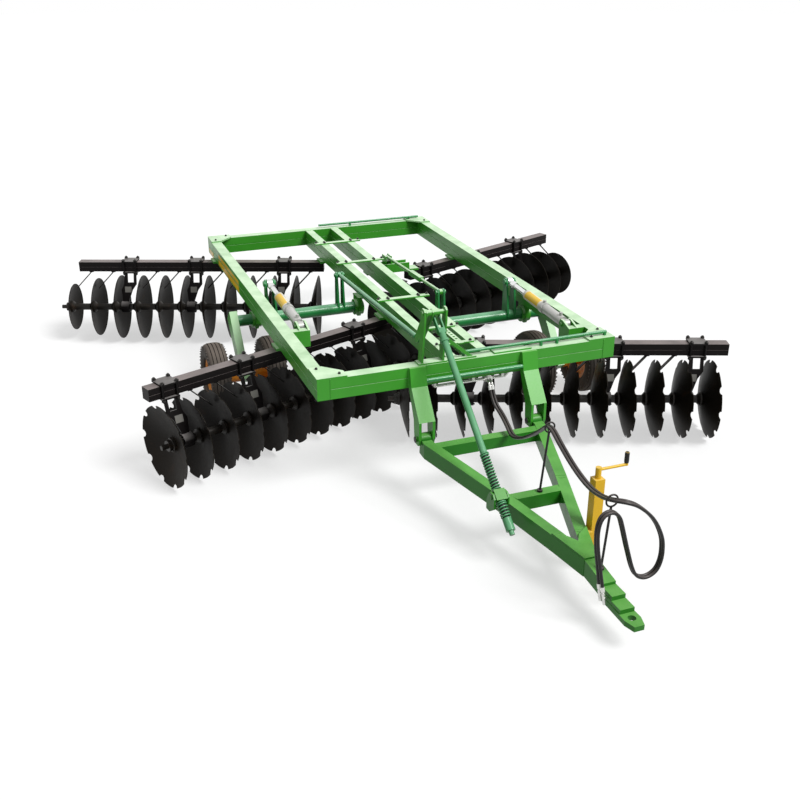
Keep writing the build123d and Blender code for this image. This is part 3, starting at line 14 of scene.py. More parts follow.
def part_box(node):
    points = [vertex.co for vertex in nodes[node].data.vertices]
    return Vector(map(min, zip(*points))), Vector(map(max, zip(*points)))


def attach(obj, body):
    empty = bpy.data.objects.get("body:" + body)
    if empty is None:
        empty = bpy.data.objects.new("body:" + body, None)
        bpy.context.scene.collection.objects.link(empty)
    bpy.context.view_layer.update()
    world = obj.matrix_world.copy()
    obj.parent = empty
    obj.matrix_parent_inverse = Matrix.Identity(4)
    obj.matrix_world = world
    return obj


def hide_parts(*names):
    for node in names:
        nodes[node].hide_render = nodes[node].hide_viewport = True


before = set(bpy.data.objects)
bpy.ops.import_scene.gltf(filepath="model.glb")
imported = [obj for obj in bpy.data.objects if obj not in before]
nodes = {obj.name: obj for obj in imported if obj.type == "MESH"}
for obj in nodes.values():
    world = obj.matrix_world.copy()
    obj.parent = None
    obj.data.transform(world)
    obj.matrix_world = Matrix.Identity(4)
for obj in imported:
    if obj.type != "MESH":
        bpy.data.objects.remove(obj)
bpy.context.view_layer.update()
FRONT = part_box("front_rail")[0][1]
print("nodes", len(nodes), "front of the frame at y =", round(FRONT, 3))

# %% [markdown]
# ## The camera
# The photograph looks down on the harrow from ahead of it and to one side, a little longer than a normal lens.
# The numbers come from fitting the frame's corners and the wheels to the picture, so that the machine fills the
# square in the same way.

# %% Camera at the photograph's angle
lens = bpy.data.cameras.new("view")
lens.lens = 44.9
lens.sensor_width = 36.0
lens.clip_end = 200.0
camera = bpy.data.objects.new("view", lens)
camera.location = (-2.9856, -6.3294 + FRONT, 3.8114)
camera.rotation_euler = (math.radians(90.0 - 24.55), 0.0, math.radians(-20.7))
bpy.context.collection.objects.link(camera)
bpy.context.scene.camera = camera
print("camera at", [round(v, 3) for v in camera.location])

# %% [markdown]
# ## Hoses
# Two rubber hoses leave the tee under the front rail, climb over a stalk, and end in couplers that hang beside
# the tongue. A hose is stiff in short bends and soft in long ones, so a smooth spline through a table of points
# suits it. A mesh would need hundreds of rings, while a curve with a round bevel keeps one row for each point.

# %% Routes of the hoses
# x, y from the frame's front and z of the first hose, then the step from it to the second, in millimetres
HOSE_ROUTE = (
    (136, -30, 700, 24, 0, 0),
    (136, -80.4, 613.6, 24, 0, 0),
    (166, -160, 546, 24, 0, 0),
    (156, -285, 506, 24, 0, 0),
    (130, -410, 484, 24, 0, 0),
    (124, -540, 522, 24, 0, 0),
    (132, -690, 616, 24, 0, 0),
    (122, -860, 742, 24, 0, 0),
    (76, -1047, 882, 24, 0, 0),
    (80, -1210, 790, 24, 0, 0),
    (88, -1390, 706, 24, 0, 0),
    (84, -1570, 674, 24, 0, 0),
    (62, -1730, 704, 24, 0, 0),
    (22, -1880, 768, 24, 0, 0),
    (32, -1962, 796, 20, 12, 0),
    (86, -2018, 802, 9, 24, 0),
    (172, -2022, 762, 0, 24, 0),
    (290, -2022, 652, 0, 24, 0),
    (364, -2022, 510, 0, 24, 0),
    (380, -2022, 410, 0, 24, 0),
    (376, -2022, 325, 0, 24, 0),
    (346, -2022, 254, 0, 24, 0),
    (275, -2022, 225, 0, 24, 0),
    (204, -2022, 254, 0, 24, 0),
    (164, -2022, 332, 0, 24, 0),
    (132, -2022, 430, 0, 24, 0),
    (100, -2022, 530, 0, 24, 0),
    (66, -2022, 644, 0, 24, 0),
    (38, -2022, 726, 0, 24, 0),
    (-20, -2022, 766, 0, 24, 0),
    (-84, -2024, 742, 0, 24, 0),
    (-112, -2032, 664, 0, 24, 0),
    (-114, -2052, 548, 0, 27, 0),
    (-104, -2082, 424, 0, 33, 0),
    (-92, -2104, 306, 0, 40, 0),
)


def hose_points(second):
    """Points of the first (0) or second (1) hose, in metres."""
    return [Vector(((x + second * dx) / 1000, FRONT + (y + second * dy) / 1000, (z + second * dz) / 1000))
            for x, y, z, dx, dy, dz in HOSE_ROUTE]


def smooth_curve(name, points, radius):
    """Round curve whose spline has the points as its control points."""
    data = bpy.data.curves.new(name, "CURVE")
    data.dimensions = "3D"
    data.bevel_depth = radius
    data.bevel_resolution = 4
    data.resolution_u = 10
    spline = data.splines.new("NURBS")
    spline.points.add(len(points) - 1)
    for place, point in zip(spline.points, points):
        place.co = (*point, 1.0)
    spline.order_u = 3
    spline.use_endpoint_u = True
    curve = bpy.data.objects.new(name, data)
    bpy.context.collection.objects.link(curve)
    return curve


hoses = [smooth_curve(name, hose_points(second), 0.011) for name, second in (("hose_a", 0), ("hose_b", 1))]
print("hoses of", len(HOSE_ROUTE), "points each")

# %% [markdown]
# ## Helpers for metal pieces
# Most added pieces are turned (nuts, caps, tyres), bent from tube (pipes, springs, weld beads) or cut from
# plate (labels). Three small makers cover them. Each returns plain vertices and faces, so that many copies can
# share one object, which keeps the list of objects short enough to read.


# %% Turned, tubular and plate shapes
def facing(origin, along):
    """Matrix that stands local +Z along a direction, at an origin."""
    turn = Vector(along).to_track_quat("Z", "Y").to_matrix().to_4x4()
    return Matrix.Translation(Vector(origin)) @ turn


def turned(profile, sides, place, twist=0.0):
    """Solid of revolution about local Z from (height, radius) pairs, placed by a matrix."""
    points = []
    for height, radius in profile:
        for i in range(sides):
            angle = 2 * math.pi * i / sides + twist
            points.append(place @ Vector((radius * math.cos(angle), radius * math.sin(angle), height)))
    faces = []
    for ring in range(len(profile) - 1):
        for i in range(sides):
            j = (i + 1) % sides
            a = ring * sides
            faces.append((a + i, a + j, a + sides + j, a + sides + i))
    faces.append(tuple(reversed(range(sides))))
    faces.append(tuple(range((len(profile) - 1) * sides, len(profile) * sides)))
    return points, faces


def tube(path, radius, sides=8):
    """Tube along a list of points, with radius a number or one number for each point."""
    radii = radius if isinstance(radius, (list, tuple)) else [radius] * len(path)
    path = [Vector(point) for point in path]
    normal = None
    points = []
    for i, point in enumerate(path):
        ahead = (path[min(i + 1, len(path) - 1)] - path[max(i - 1, 0)]).normalized()
        if normal is None:
            normal = ahead.orthogonal().normalized()
        normal = (normal - ahead * normal.dot(ahead)).normalized()
        side = ahead.cross(normal)
        for k in range(sides):
            angle = 2 * math.pi * k / sides
            points.append(point + (normal * math.cos(angle) + side * math.sin(angle)) * radii[i])
    faces = []
    for i in range(len(path) - 1):
        for k in range(sides):
            j = (k + 1) % sides
            faces.append((i * sides + k, i * sides + j, (i + 1) * sides + j, (i + 1) * sides + k))
    faces.append(tuple(reversed(range(sides))))
    faces.append(tuple(range((len(path) - 1) * sides, len(path) * sides)))
    return points, faces


def slab(outline, thickness, place, rounding=0.0):
    """Flat plate from a local XY outline, with its top edge drawn in by rounding."""
    centre = Vector((sum(x for x, _ in outline) / len(outline), sum(y for _, y in outline) / len(outline)))
    layers = [(0.0, 0.0), (thickness - rounding, 0.0), (thickness, rounding)]
    points = []
    for height, inset in layers:
        for x, y in outline:
            spot = Vector((x, y))
            drawn = spot - (spot - centre).normalized() * inset
            points.append(place @ Vector((drawn.x, drawn.y, height)))
    count = len(outline)
    faces = [tuple(reversed(range(count)))]
    for layer in range(len(layers) - 1):
        for i in range(count):
            j = (i + 1) % count
            faces.append((layer * count + i, layer * count + j, (layer + 1) * count + j, (layer + 1) * count + i))
    faces.append(tuple(range((len(layers) - 1) * count, len(layers) * count)))
    return points, faces


def join_up(name, shapes, material, body, smooth_below=40.0):
    """One object from many (points, faces) shapes, with its paint and the body that it rides on."""
    points, faces = [], []
    for shape_points, shape_faces in shapes:
        start = len(points)
        points += [tuple(point) for point in shape_points]
        faces += [tuple(start + i for i in face) for face in shape_faces]
    mesh = bpy.data.meshes.new(name)
    mesh.from_pydata(points, [], faces)
    tidy = bmesh.new()
    tidy.from_mesh(mesh)
    bmesh.ops.recalc_face_normals(tidy, faces=tidy.faces)
    limit = math.radians(smooth_below)
    for edge in tidy.edges:
        edge.smooth = edge.is_manifold and edge.calc_face_angle(0.0) < limit
    for face in tidy.faces:
        face.smooth = True
    tidy.to_mesh(mesh)
    tidy.free()
    piece = bpy.data.objects.new(name, mesh)
    bpy.context.collection.objects.link(piece)
    mesh.materials.append(material)
    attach(piece, body)
    print(name, "faces", len(faces))
    return piece


# %% [markdown]
# ## Finishes
# Every finish starts from one recipe: a base colour that drifts slowly across the metal, a paler tone on faces
# that look up, partly dust and partly a painted sheen of the light from above, soil that climbs from the ground, and
# a fine bump so that highlights break up. Painting maps by hand would tie the colours to one picture. Nodes that
# read the object's own coordinates work from any side.


# %% One recipe for painted and bare metal
def finish(name, base, sheen_and_dust_colour, sheen_and_dust_share, roughness, metal=0.0, soil=0.0, grain=60.0, bump=0.08, patch=None,
           specular=0.3):
    """Material with drift, a paler tone on upward faces that is partly dust and partly painted sheen, soil near the
    ground and a fine bump.
    """
    material = bpy.data.materials.new(name)
    material.use_nodes = True
    graph = material.node_tree
    graph.nodes.clear()
    make = graph.nodes.new
    link = graph.links.new
    out = make("ShaderNodeOutputMaterial")
    shader = make("ShaderNodeBsdfPrincipled")
    link(shader.outputs["BSDF"], out.inputs["Surface"])
    shader.inputs["Metallic"].default_value = metal
    shader.inputs["Specular IOR Level"].default_value = specular
    where = make("ShaderNodeTexCoord")
    drift = make("ShaderNodeTexNoise")
    drift.inputs["Scale"].default_value = 2.2
    drift.inputs["Detail"].default_value = 5.0
    link(where.outputs["Object"], drift.inputs["Vector"])
    shade = make("ShaderNodeMix")
    shade.data_type = "RGBA"
    shade.inputs[6].default_value = (*[c * 0.72 for c in base], 1.0)
    shade.inputs[7].default_value = (*[min(1.0, c * 1.22) for c in base], 1.0)
    link(drift.outputs["Fac"], shade.inputs[0])
    colour = shade.outputs[2]
    if patch:
        spots = make("ShaderNodeTexNoise")
        spots.inputs["Scale"].default_value = patch[1]
        spots.inputs["Detail"].default_value = 8.0
        spots.inputs["Roughness"].default_value = 0.7
        link(where.outputs["Object"], spots.inputs["Vector"])
        edge = make("ShaderNodeMapRange")
        edge.inputs["From Min"].default_value = patch[2]
        edge.inputs["From Max"].default_value = patch[2] + 0.1
        edge.inputs["To Max"].default_value = patch[3]
        link(spots.outputs["Fac"], edge.inputs["Value"])
        worn = make("ShaderNodeMix")
        worn.data_type = "RGBA"
        worn.inputs[7].default_value = (*patch[0], 1.0)
        link(edge.outputs["Result"], worn.inputs[0])
        link(colour, worn.inputs[6])
        colour = worn.outputs[2]
    # Paler tone on faces that look up: partly dust, partly a painted sheen of the light from above
    surface = make("ShaderNodeNewGeometry")
    split = make("ShaderNodeSeparateXYZ")
    link(surface.outputs["Normal"], split.inputs["Vector"])
    up = make("ShaderNodeMapRange")
    up.inputs["From Min"].default_value = 0.25
    up.inputs["From Max"].default_value = 0.95
    up.inputs["To Max"].default_value = sheen_and_dust_share
    link(split.outputs["Z"], up.inputs["Value"])
    cloud = make("ShaderNodeTexNoise")
    cloud.inputs["Scale"].default_value = 7.0
    cloud.inputs["Detail"].default_value = 6.0
    link(where.outputs["Object"], cloud.inputs["Vector"])
    uneven = make("ShaderNodeMapRange")
    uneven.inputs["From Min"].default_value = 0.3
    uneven.inputs["From Max"].default_value = 0.65
    uneven.inputs["To Min"].default_value = 0.65
    uneven.inputs["To Max"].default_value = 1.0
    link(cloud.outputs["Fac"], uneven.inputs["Value"])
    amount = make("ShaderNodeMath")
    amount.operation = "MULTIPLY"
    link(up.outputs["Result"], amount.inputs[0])
    link(uneven.outputs["Result"], amount.inputs[1])
    with_sheen_and_dust = make("ShaderNodeMix")
    with_sheen_and_dust.data_type = "RGBA"
    with_sheen_and_dust.inputs[7].default_value = (*sheen_and_dust_colour, 1.0)
    link(amount.outputs[0], with_sheen_and_dust.inputs[0])
    link(colour, with_sheen_and_dust.inputs[6])
    colour = with_sheen_and_dust.outputs[2]
    if soil:
        place = make("ShaderNodeSeparateXYZ")
        link(where.outputs["Object"], place.inputs["Vector"])
        rise = make("ShaderNodeMapRange")
        rise.inputs["From Min"].default_value = 0.42
        rise.inputs["From Max"].default_value = 0.0
        rise.inputs["To Max"].default_value = soil
        link(place.outputs["Z"], rise.inputs["Value"])
        muddy = make("ShaderNodeMath")
        muddy.operation = "MULTIPLY"
        link(rise.outputs["Result"], muddy.inputs[0])
        link(cloud.outputs["Fac"], muddy.inputs[1])
        earth = make("ShaderNodeMix")
        earth.data_type = "RGBA"
        earth.inputs[7].default_value = (0.11, 0.075, 0.045, 1.0)
        link(muddy.outputs[0], earth.inputs[0])
        link(colour, earth.inputs[6])
        colour = earth.outputs[2]
    link(colour, shader.inputs["Base Color"])
    gloss = make("ShaderNodeMapRange")
    gloss.inputs["To Min"].default_value = max(0.05, roughness - 0.1)
    gloss.inputs["To Max"].default_value = min(1.0, roughness + 0.12)
    link(cloud.outputs["Fac"], gloss.inputs["Value"])
    link(gloss.outputs["Result"], shader.inputs["Roughness"])
    fine = make("ShaderNodeTexNoise")
    fine.inputs["Scale"].default_value = grain
    fine.inputs["Detail"].default_value = 4.0
    link(where.outputs["Object"], fine.inputs["Vector"])
    relief = make("ShaderNodeBump")
    relief.inputs["Strength"].default_value = bump
    relief.inputs["Distance"].default_value = 0.004
    link(fine.outputs["Fac"], relief.inputs["Height"])
    link(relief.outputs["Normal"], shader.inputs["Normal"])
    return material


# %% [markdown]
# The frame's green is a bright enamel whose pale top is partly chalky, faded paint and partly a painted sheen of the
# light from above. Rods, brackets and drawbar wear it deeper.
# Discs and axles are bare steel, almost black, with brown rust in patches. Beams and hangers are black paint
# with grey tops, partly dust and partly painted sheen.

# %% The harrow's finishes
# The second colour of each finish and the share after it tint upward faces: partly dust, partly a painted sheen of
# the light from above
green = finish("green_enamel", (0.045, 0.30, 0.022), (0.64, 0.85, 0.58), 1.0, 0.34, soil=0.2)
green_rod = finish("green_rod_enamel", (0.022, 0.22, 0.055), (0.27, 0.54, 0.35), 0.7, 0.2)
green_bracket = finish("green_bracket_enamel", (0.045, 0.30, 0.022), (0.22, 0.55, 0.15), 1.0, 0.34, soil=0.2)
green_drawbar = finish("green_drawbar_enamel", (0.019, 0.175, 0.012), (0.16, 0.46, 0.10), 0.8, 0.32, soil=0.2,
                       specular=0.2)
disc_steel = finish("disc_steel", (0.0065, 0.005, 0.0035), (0.022, 0.018, 0.014), 0.5, 0.4, soil=0.16,
                    grain=90.0, bump=0.14, patch=((0.024, 0.012, 0.006), 9.0, 0.58, 0.6), specular=0.06)
axle_steel = finish("axle_steel", (0.010, 0.008, 0.006), (0.05, 0.045, 0.04), 0.4, 0.4,
                    patch=((0.035, 0.018, 0.009), 14.0, 0.54, 0.5))
beam_black = finish("beam_black", (0.006, 0.0045, 0.0045), (0.34, 0.29, 0.28), 0.72, 0.4, grain=45.0,
                    specular=0.1)
hanger_black = finish("hanger_black", (0.006, 0.005, 0.005), (0.34, 0.32, 0.31), 0.6, 0.42, specular=0.1)
bright_steel = finish("bright_steel", (0.62, 0.62, 0.6), (0.7, 0.7, 0.68), 0.3, 0.3, metal=0.9)
ram_chrome = finish("ram_chrome", (0.85, 0.85, 0.85), (0.9, 0.9, 0.9), 0.1, 0.14, metal=1.0, bump=0.02)
cylinder_silver = finish("cylinder_silver", (0.5, 0.5, 0.48), (0.66, 0.65, 0.62), 0.5, 0.36, metal=0.25)
cream = finish("cream_paint", (0.72, 0.68, 0.55), (0.85, 0.82, 0.74), 0.4, 0.4)
label_yellow = finish("label_yellow", (0.85, 0.52, 0.02), (0.9, 0.68, 0.2), 0.3, 0.35, bump=0.02)
label_pale = finish("label_pale", (0.17, 0.165, 0.15), (0.4, 0.4, 0.38), 0.3, 0.4, bump=0.02)
jack_paint = finish("jack_yellow", (0.7, 0.42, 0.015), (0.86, 0.66, 0.2), 0.45, 0.36, soil=0.3)
tyre_rubber = finish("tyre_rubber", (0.04, 0.034, 0.029), (0.22, 0.18, 0.15), 0.6, 0.8, soil=0.6, grain=140.0,
                     bump=0.2)
rim_orange = finish("rim_orange", (0.78, 0.27, 0.015), (0.85, 0.5, 0.15), 0.35, 0.35, soil=0.3)
hose_rubber = finish("hose_rubber", (0.009, 0.008, 0.008), (0.16, 0.135, 0.125), 0.55, 0.36, grain=220.0, bump=0.1)
grip_black = finish("grip_black", (0.008, 0.008, 0.008), (0.05, 0.05, 0.05), 0.3, 0.5, bump=0.04)
bolt_steel = finish("bolt_steel", (0.02, 0.019, 0.018), (0.12, 0.11, 0.10), 0.4, 0.36, metal=0.4)
print("finishes", len(bpy.data.materials))

# %% [markdown]
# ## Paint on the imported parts
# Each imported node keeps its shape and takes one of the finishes. A short table from the start of a node's name
# to its paint is easier to check than one line for each of some sixty nodes.

# %% Paint the nodes
PAINT = (
    ("discs_", disc_steel), ("axle_", axle_steel), ("gang_beam_", beam_black), ("hangers_", hanger_black),
    ("tyres_", tyre_rubber), ("rims_", rim_orange), ("rod_", ram_chrome), ("barrel_", cylinder_silver),
    ("hose_ends", bright_steel), ("hose_", hose_rubber), ("jack_", jack_paint), ("pipes", bright_steel),
    ("link_rod", green_rod), ("spring_rod", green_rod), ("rocker", green), ("frame_rods", green_rod),
    ("drawbar_", green_drawbar), ("tongue", green_drawbar), ("trunnion", green_drawbar), ("rockshaft_", green_rod),
    ("hitch_", green_bracket),
)
for name, node in nodes.items():
    paint = next((paint for start, paint in PAINT if name.startswith(start)), green)
    node.data.materials.clear()
    node.data.materials.append(paint)
print("painted", len(nodes))

# %% [markdown]
# ## Hoses again: rubber, crimps and couplers
# A hose ends in a crimped shell, and a coupler has a knurled sleeve and a nose. Turned profiles follow the last
# run of each route, so the metal lines up with the rubber.

# %% Dress the hoses
for hose in hoses:
    hose.data.materials.append(hose_rubber)
    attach(hose, "drawbar")
CRIMP = ((0.0, 0.0125), (0.004, 0.0138), (0.010, 0.0128), (0.013, 0.0138), (0.019, 0.0128), (0.022, 0.0138),
         (0.028, 0.0128), (0.031, 0.0138), (0.036, 0.012), (0.040, 0.009))
SLEEVE = ((0.040, 0.0095), (0.046, 0.0095), (0.047, 0.0118), (0.060, 0.0118), (0.061, 0.0108), (0.068, 0.0108),
          (0.069, 0.0118), (0.090, 0.0118), (0.092, 0.0105), (0.118, 0.0098), (0.120, 0.0075))
for second in (0, 1):
    fitting_shapes = []
    route = hose_points(second)
    first_run = (route[0] - route[1]).normalized()
    last_run = (route[-1] - route[-2]).normalized()
    fitting_shapes.append(turned([(h, r) for h, r in CRIMP], 20, facing(route[0], first_run)))
    fitting_shapes.append(turned([(h, r) for h, r in CRIMP], 20, facing(route[-1], last_run)))
    fitting_shapes.append(turned([(h, r) for h, r in SLEEVE], 20, facing(route[-1], last_run)))
    pair = join_up(f"hose_fittings_{'ab'[second]}", fitting_shapes, bright_steel, "drawbar")
    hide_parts("hose_ends")
for hose, node in zip(hoses, ("hose_first", "hose_second")):
    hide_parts(node)


def route_length(points):
    """Length along the spline that a curve makes of its control points."""
    plain = smooth_curve("measure", points, 0.0)
    mesh = bpy.data.meshes.new_from_object(plain)
    spots = [vertex.co.copy() for vertex in mesh.vertices]
    bpy.data.objects.remove(plain)
    return sum((b - a).length for a, b in zip(spots, spots[1:]))


for second, hose in enumerate(hoses):
    points = hose_points(second)
    length = route_length(points)
    print(hose.name, "length", round(length, 3))

# %% [markdown]
# ## Coil springs
# The level rod pushes on a block through a long spring, and a short one behind it takes the rebound. On the real
# rod these are plain wound coils with ground ends. A helix that tightens at both ends gives that look.

# %% Wind the springs
trunnion_low, trunnion_high = (Vector(corner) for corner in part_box("trunnion_block"))
block_middle = (trunnion_low + trunnion_high) / 2
fork_pin = Vector((-0.303, FRONT + 0.0315, 1.343))
down_rod = (block_middle - fork_pin).normalized()
down_rod.x = 0.0
down_rod.normalize()


def helix(start, along, length, turns, coil_radius, wire, sides=8, steps=20):
    """Coil about a line, with closed turns at both ends."""
    place = facing(start, along)
    path = []
    total = int(turns * steps)
    for i in range(total + 1):
        share = i / total
        closed = 1.0 / turns
        if share < closed:
            height = wire + share / closed * 2 * wire
        elif share > 1 - closed:
            height = length - wire - (1 - share) / closed * 2 * wire
        else:
            height = 3 * wire + (share - closed) / (1 - 2 * closed) * (length - 6 * wire)
        angle = share * turns * 2 * math.pi
        path.append(place @ Vector((coil_radius * math.cos(angle), coil_radius * math.sin(angle), height)))
    return tube(path, wire, sides)


coils = [helix(block_middle - down_rod * 0.325, down_rod, 0.285, 14, 0.0285, 0.0052),
         helix(block_middle + down_rod * 0.040, down_rod, 0.120, 6, 0.0310, 0.0055)]
springs = join_up("level_springs", coils, green_rod, "spring_rod", 60.0)
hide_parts("springs")
# A black core that fills the coils is painted shade: it makes the dark gaps between their turns
shade_cores = [turned([(0.0, 0.0225), (length, 0.0225)], 20, facing(block_middle + down_rod * start, down_rod))
         for start, length in ((-0.322, 0.279), (0.043, 0.114))]
join_up("spring_shade_cores", shade_cores, grip_black, "spring_rod")

# %% [markdown]
# ## Tyres
# Implement tyres are nearly smooth: a few ribs run right round, with narrow grooves between them and short
# sipes at the shoulders. A profile turned about the axle gives ribs and side walls, and small cut lugs along the
# shoulder show that the wheel turns.

# %% Ribbed tyres
TYRE_PROFILE = (
    (-0.056, 0.186), (-0.074, 0.196), (-0.084, 0.215), (-0.0885, 0.240), (-0.0885, 0.262), (-0.084, 0.281),
    (-0.078, 0.2935), (-0.066, 0.3045), (-0.052, 0.3095), (-0.051, 0.300), (-0.045, 0.300), (-0.044, 0.3125),
    (-0.020, 0.3143), (-0.019, 0.3035), (-0.013, 0.3035), (-0.012, 0.3146), (0.012, 0.3146), (0.013, 0.3035),
    (0.019, 0.3035), (0.020, 0.3143), (0.044, 0.3125), (0.045, 0.300), (0.051, 0.300), (0.052, 0.3095),
    (0.066, 0.3045), (0.078, 0.2935), (0.084, 0.281), (0.0885, 0.262), (0.0885, 0.240), (0.084, 0.215),
    (0.074, 0.196), (0.056, 0.186),
)
WHEELS = {"left": (-1.135, -1.635), "right": (1.135, 1.635)}


def ring_of(profile, sides, place):
    """Closed ring turned about local Z from a closed profile of (height, radius) pairs."""
    points, faces = turned(profile, sides, place)
    faces = faces[:-2]
    last = (len(profile) - 1) * sides
    for i in range(sides):
        j = (i + 1) % sides
        faces.append((last + i, last + j, j, i))
    return points, faces


for side, places in WHEELS.items():
    low, high = (Vector(corner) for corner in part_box(f"tyres_{side}"))
    middle = (low + high) / 2
    shapes = []
    for x in places:
        axle = facing((x, middle.y, middle.z), (1, 0, 0))
        shapes.append(ring_of(TYRE_PROFILE, 96, axle))
        for edge in (-1, 1):
            for i in range(48):
                angle = 2 * math.pi * (i + 0.5 * (edge > 0)) / 48
                spot = axle @ Matrix.Rotation(angle, 4, "Z") @ Matrix.Translation((0.287, 0, edge * 0.0805))
                lug = [(-0.010, -0.007), (0.010, -0.007), (0.010, 0.007), (-0.010, 0.007)]
                tilt = Matrix.Rotation(math.radians(90 + edge * 28), 4, "Y")
                shapes.append(slab(lug, 0.0045, spot @ tilt @ Matrix.Translation((0, 0, -0.001)), 0.0015))
    tyres = join_up(f"ribbed_tyres_{side}", shapes, tyre_rubber, f"wheels_{side}", 32.0)
    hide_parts(f"tyres_{side}")

# %% [markdown]
# ## Nuts and bolts
# A hexagon nut is a six-sided turned shape with its corners taken off, and a bolt's end stands a little out of
# it. The same maker serves wheel nuts, clamps and brackets, with the size as its only change.


# %% A nut on its bolt
def nut(place, across, turn=0.0):
    """Chamfered hexagon nut with its bolt's end, standing on local z = 0."""
    corner = across / math.sqrt(3)
    height = across * 0.5
    body = turned([(0.0, corner * 0.93), (height * 0.12, corner), (height * 0.86, corner), (height, corner * 0.88)],
                  6, place, turn)
    stud = turned([(height - 0.001, across * 0.3), (height + across * 0.2, across * 0.3),
                   (height + across * 0.26, across * 0.24)], 10, place)
    return [body, stud]


def washer(place, radius, height=0.003):
    """Flat washer on local z = 0."""
    return turned([(0.0, radius), (height * 0.7, radius), (height, radius * 0.95)], 20, place)


# %% [markdown]
# ## Wheel centres
# The steel wheel is bolted to its hub by a ring of nuts round a pressed cap. They sit on the outside of the outer
# wheel, and on the inside of the inner one, where a hand can reach them.

# %% Hubs, caps and wheel nuts
WHEEL_BOLTS, BOLT_CIRCLE = 6, 0.092
for side, places in WHEELS.items():
    low, high = (Vector(corner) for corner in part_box(f"tyres_{side}"))
    middle = (low + high) / 2
    shapes = []
    for x in places:
        way = 1.0 if abs(x) > 1.4 else -1.0
        way *= 1.0 if x > 0 else -1.0
        hub = facing((x + way * 0.050, middle.y, middle.z), (way, 0, 0))
        shapes.append(turned([(-0.004, 0.060), (0.002, 0.056), (0.008, 0.046), (0.010, 0.040), (0.024, 0.038),
                              (0.030, 0.030), (0.032, 0.012)], 32, hub))
        face = facing((x - way * 0.006, middle.y, middle.z), (way, 0, 0))
        for i in range(WHEEL_BOLTS):
            angle = 2 * math.pi * (i + 0.5) / WHEEL_BOLTS
            spot = face @ Matrix.Translation((BOLT_CIRCLE * math.cos(angle), BOLT_CIRCLE * math.sin(angle), 0.0))
            shapes += nut(spot, 0.024, 0.3 * i)
    join_up(f"wheel_nuts_{side}", shapes, bolt_steel, f"wheels_{side}")

# %% [markdown]
# ## Gang frames
# Each gang stands at an angle of 21 degrees to the machine's width. Its pieces are easiest to place in its own
# axes: along the axle, level across it, and up. A small table gives each gang's first hub and the way it runs.

# %% Axes of the gangs
DISC_PITCH, DISC_COUNT, HUB_HEIGHT = 0.230, 12, 0.330
# name: first hub x and y from the frame's front, heading of the hollow side, side of the beam, row direction,
# gaps that hold a hanger
GANGS = {
    "front_left": (-2.200, 0.652, 201.0, -1, -1, (0, 3, 8)),
    "front_right": (2.082, -0.072, -21.0, 1, -1, (0, 3, 8)),
    "rear_left": (-2.691, 4.248, -21.0, 1, 1, (2, 5, 9)),
    "rear_right": (2.691, 3.507, 201.0, -1, 1, (2, 5, 8)),
}


def gang_place(name):
    """Matrix of a gang's own axes, with its origin at the first hub."""
    x, y, heading = GANGS[name][:3]
    return Matrix.Translation((x, FRONT + y, HUB_HEIGHT)) @ Matrix.Rotation(math.radians(heading), 4, "Z")


print("gangs", {name: round(GANGS[name][2]) for name in GANGS})

# %% [markdown]
# ## Clamps and bearing plates
# The hangers hold the axle under the beam with saddle clamps, whose dark bolts stand out by their shape. Each
# bell-shaped plate carries a small pale blank patch on its front.

# %% Clamp bolts, bearing bolts and patches
CLAMP_TOP, CLAMP_UNDER, CLAMP_NUT = 0.474, 0.346, 0.030
BEARING_CIRCLE = 0.049
PATCH = [(-0.034, -0.030), (0.034, -0.030), (0.034, 0.030), (-0.034, 0.030)]
clamp_shapes = []
bearing_shapes = []
patch_shapes = []
for name, (_, _, _, beam_side, row, gaps) in GANGS.items():
    gang = gang_place(name)
    for gap in gaps:
        at = row * DISC_PITCH * (gap + 0.5) + 0.003
        hanger = gang @ Matrix.Translation((at, 0, 0))
        for i in (-1, 1):
            for j in (-1, 1):
                bolt_x, bolt_y = 0.060 + i * 0.061, beam_side * 0.130 + j * 0.063
                top = hanger @ Matrix.Translation((bolt_x, bolt_y, CLAMP_TOP))
                clamp_shapes += nut(top, CLAMP_NUT, 0.4)
                under = hanger @ Matrix.Translation((bolt_x, bolt_y, CLAMP_UNDER))
                clamp_shapes += nut(under @ Matrix.Rotation(math.pi, 4, "X"), CLAMP_NUT, 0.1)
        for end in (-1, 1):
            for i in range(4):
                angle = math.pi * (i + 0.5) / 2
                spot = hanger @ Matrix.Translation((end * 0.042, BEARING_CIRCLE * math.cos(angle),
                                                    BEARING_CIRCLE * math.sin(angle)))
                bearing_shapes += nut(spot @ Matrix.Rotation(end * math.pi / 2, 4, "Y"), 0.014)
        slope = Vector((0, beam_side * 0.077, 0.298)).normalized()
        across = Vector((1, 0, 0))
        out = across.cross(slope)
        if out.y * beam_side > 0:
            out = -out
        spot = Vector((0.030, 0, 0.048)) + slope * 0.135 + out * 0.0091
        side_way = slope.cross(out)
        local = Matrix((side_way.to_4d(), slope.to_4d(), out.to_4d(), (0, 0, 0, 1))).transposed()
        for i in range(3):
            local[i][3] = spot[i]
            local[3][i] = 0.0
        local[3][3] = 1.0
        patch_shapes.append(slab(PATCH, 0.0008, hanger @ local, 0.0003))
join_up("clamp_bolts", clamp_shapes, bolt_steel, "frame")
join_up("bearing_bolts", bearing_shapes, bolt_steel, "frame")
join_up("bearing_patches", patch_shapes, label_pale, "frame")

# %% [markdown]
# ## Axle ends
# A square axle runs through the discs and spools, and one big nut at the outer end squeezes the whole stack. Here
# each end of the stack gets a washer with four small nuts, and they turn with the gang.

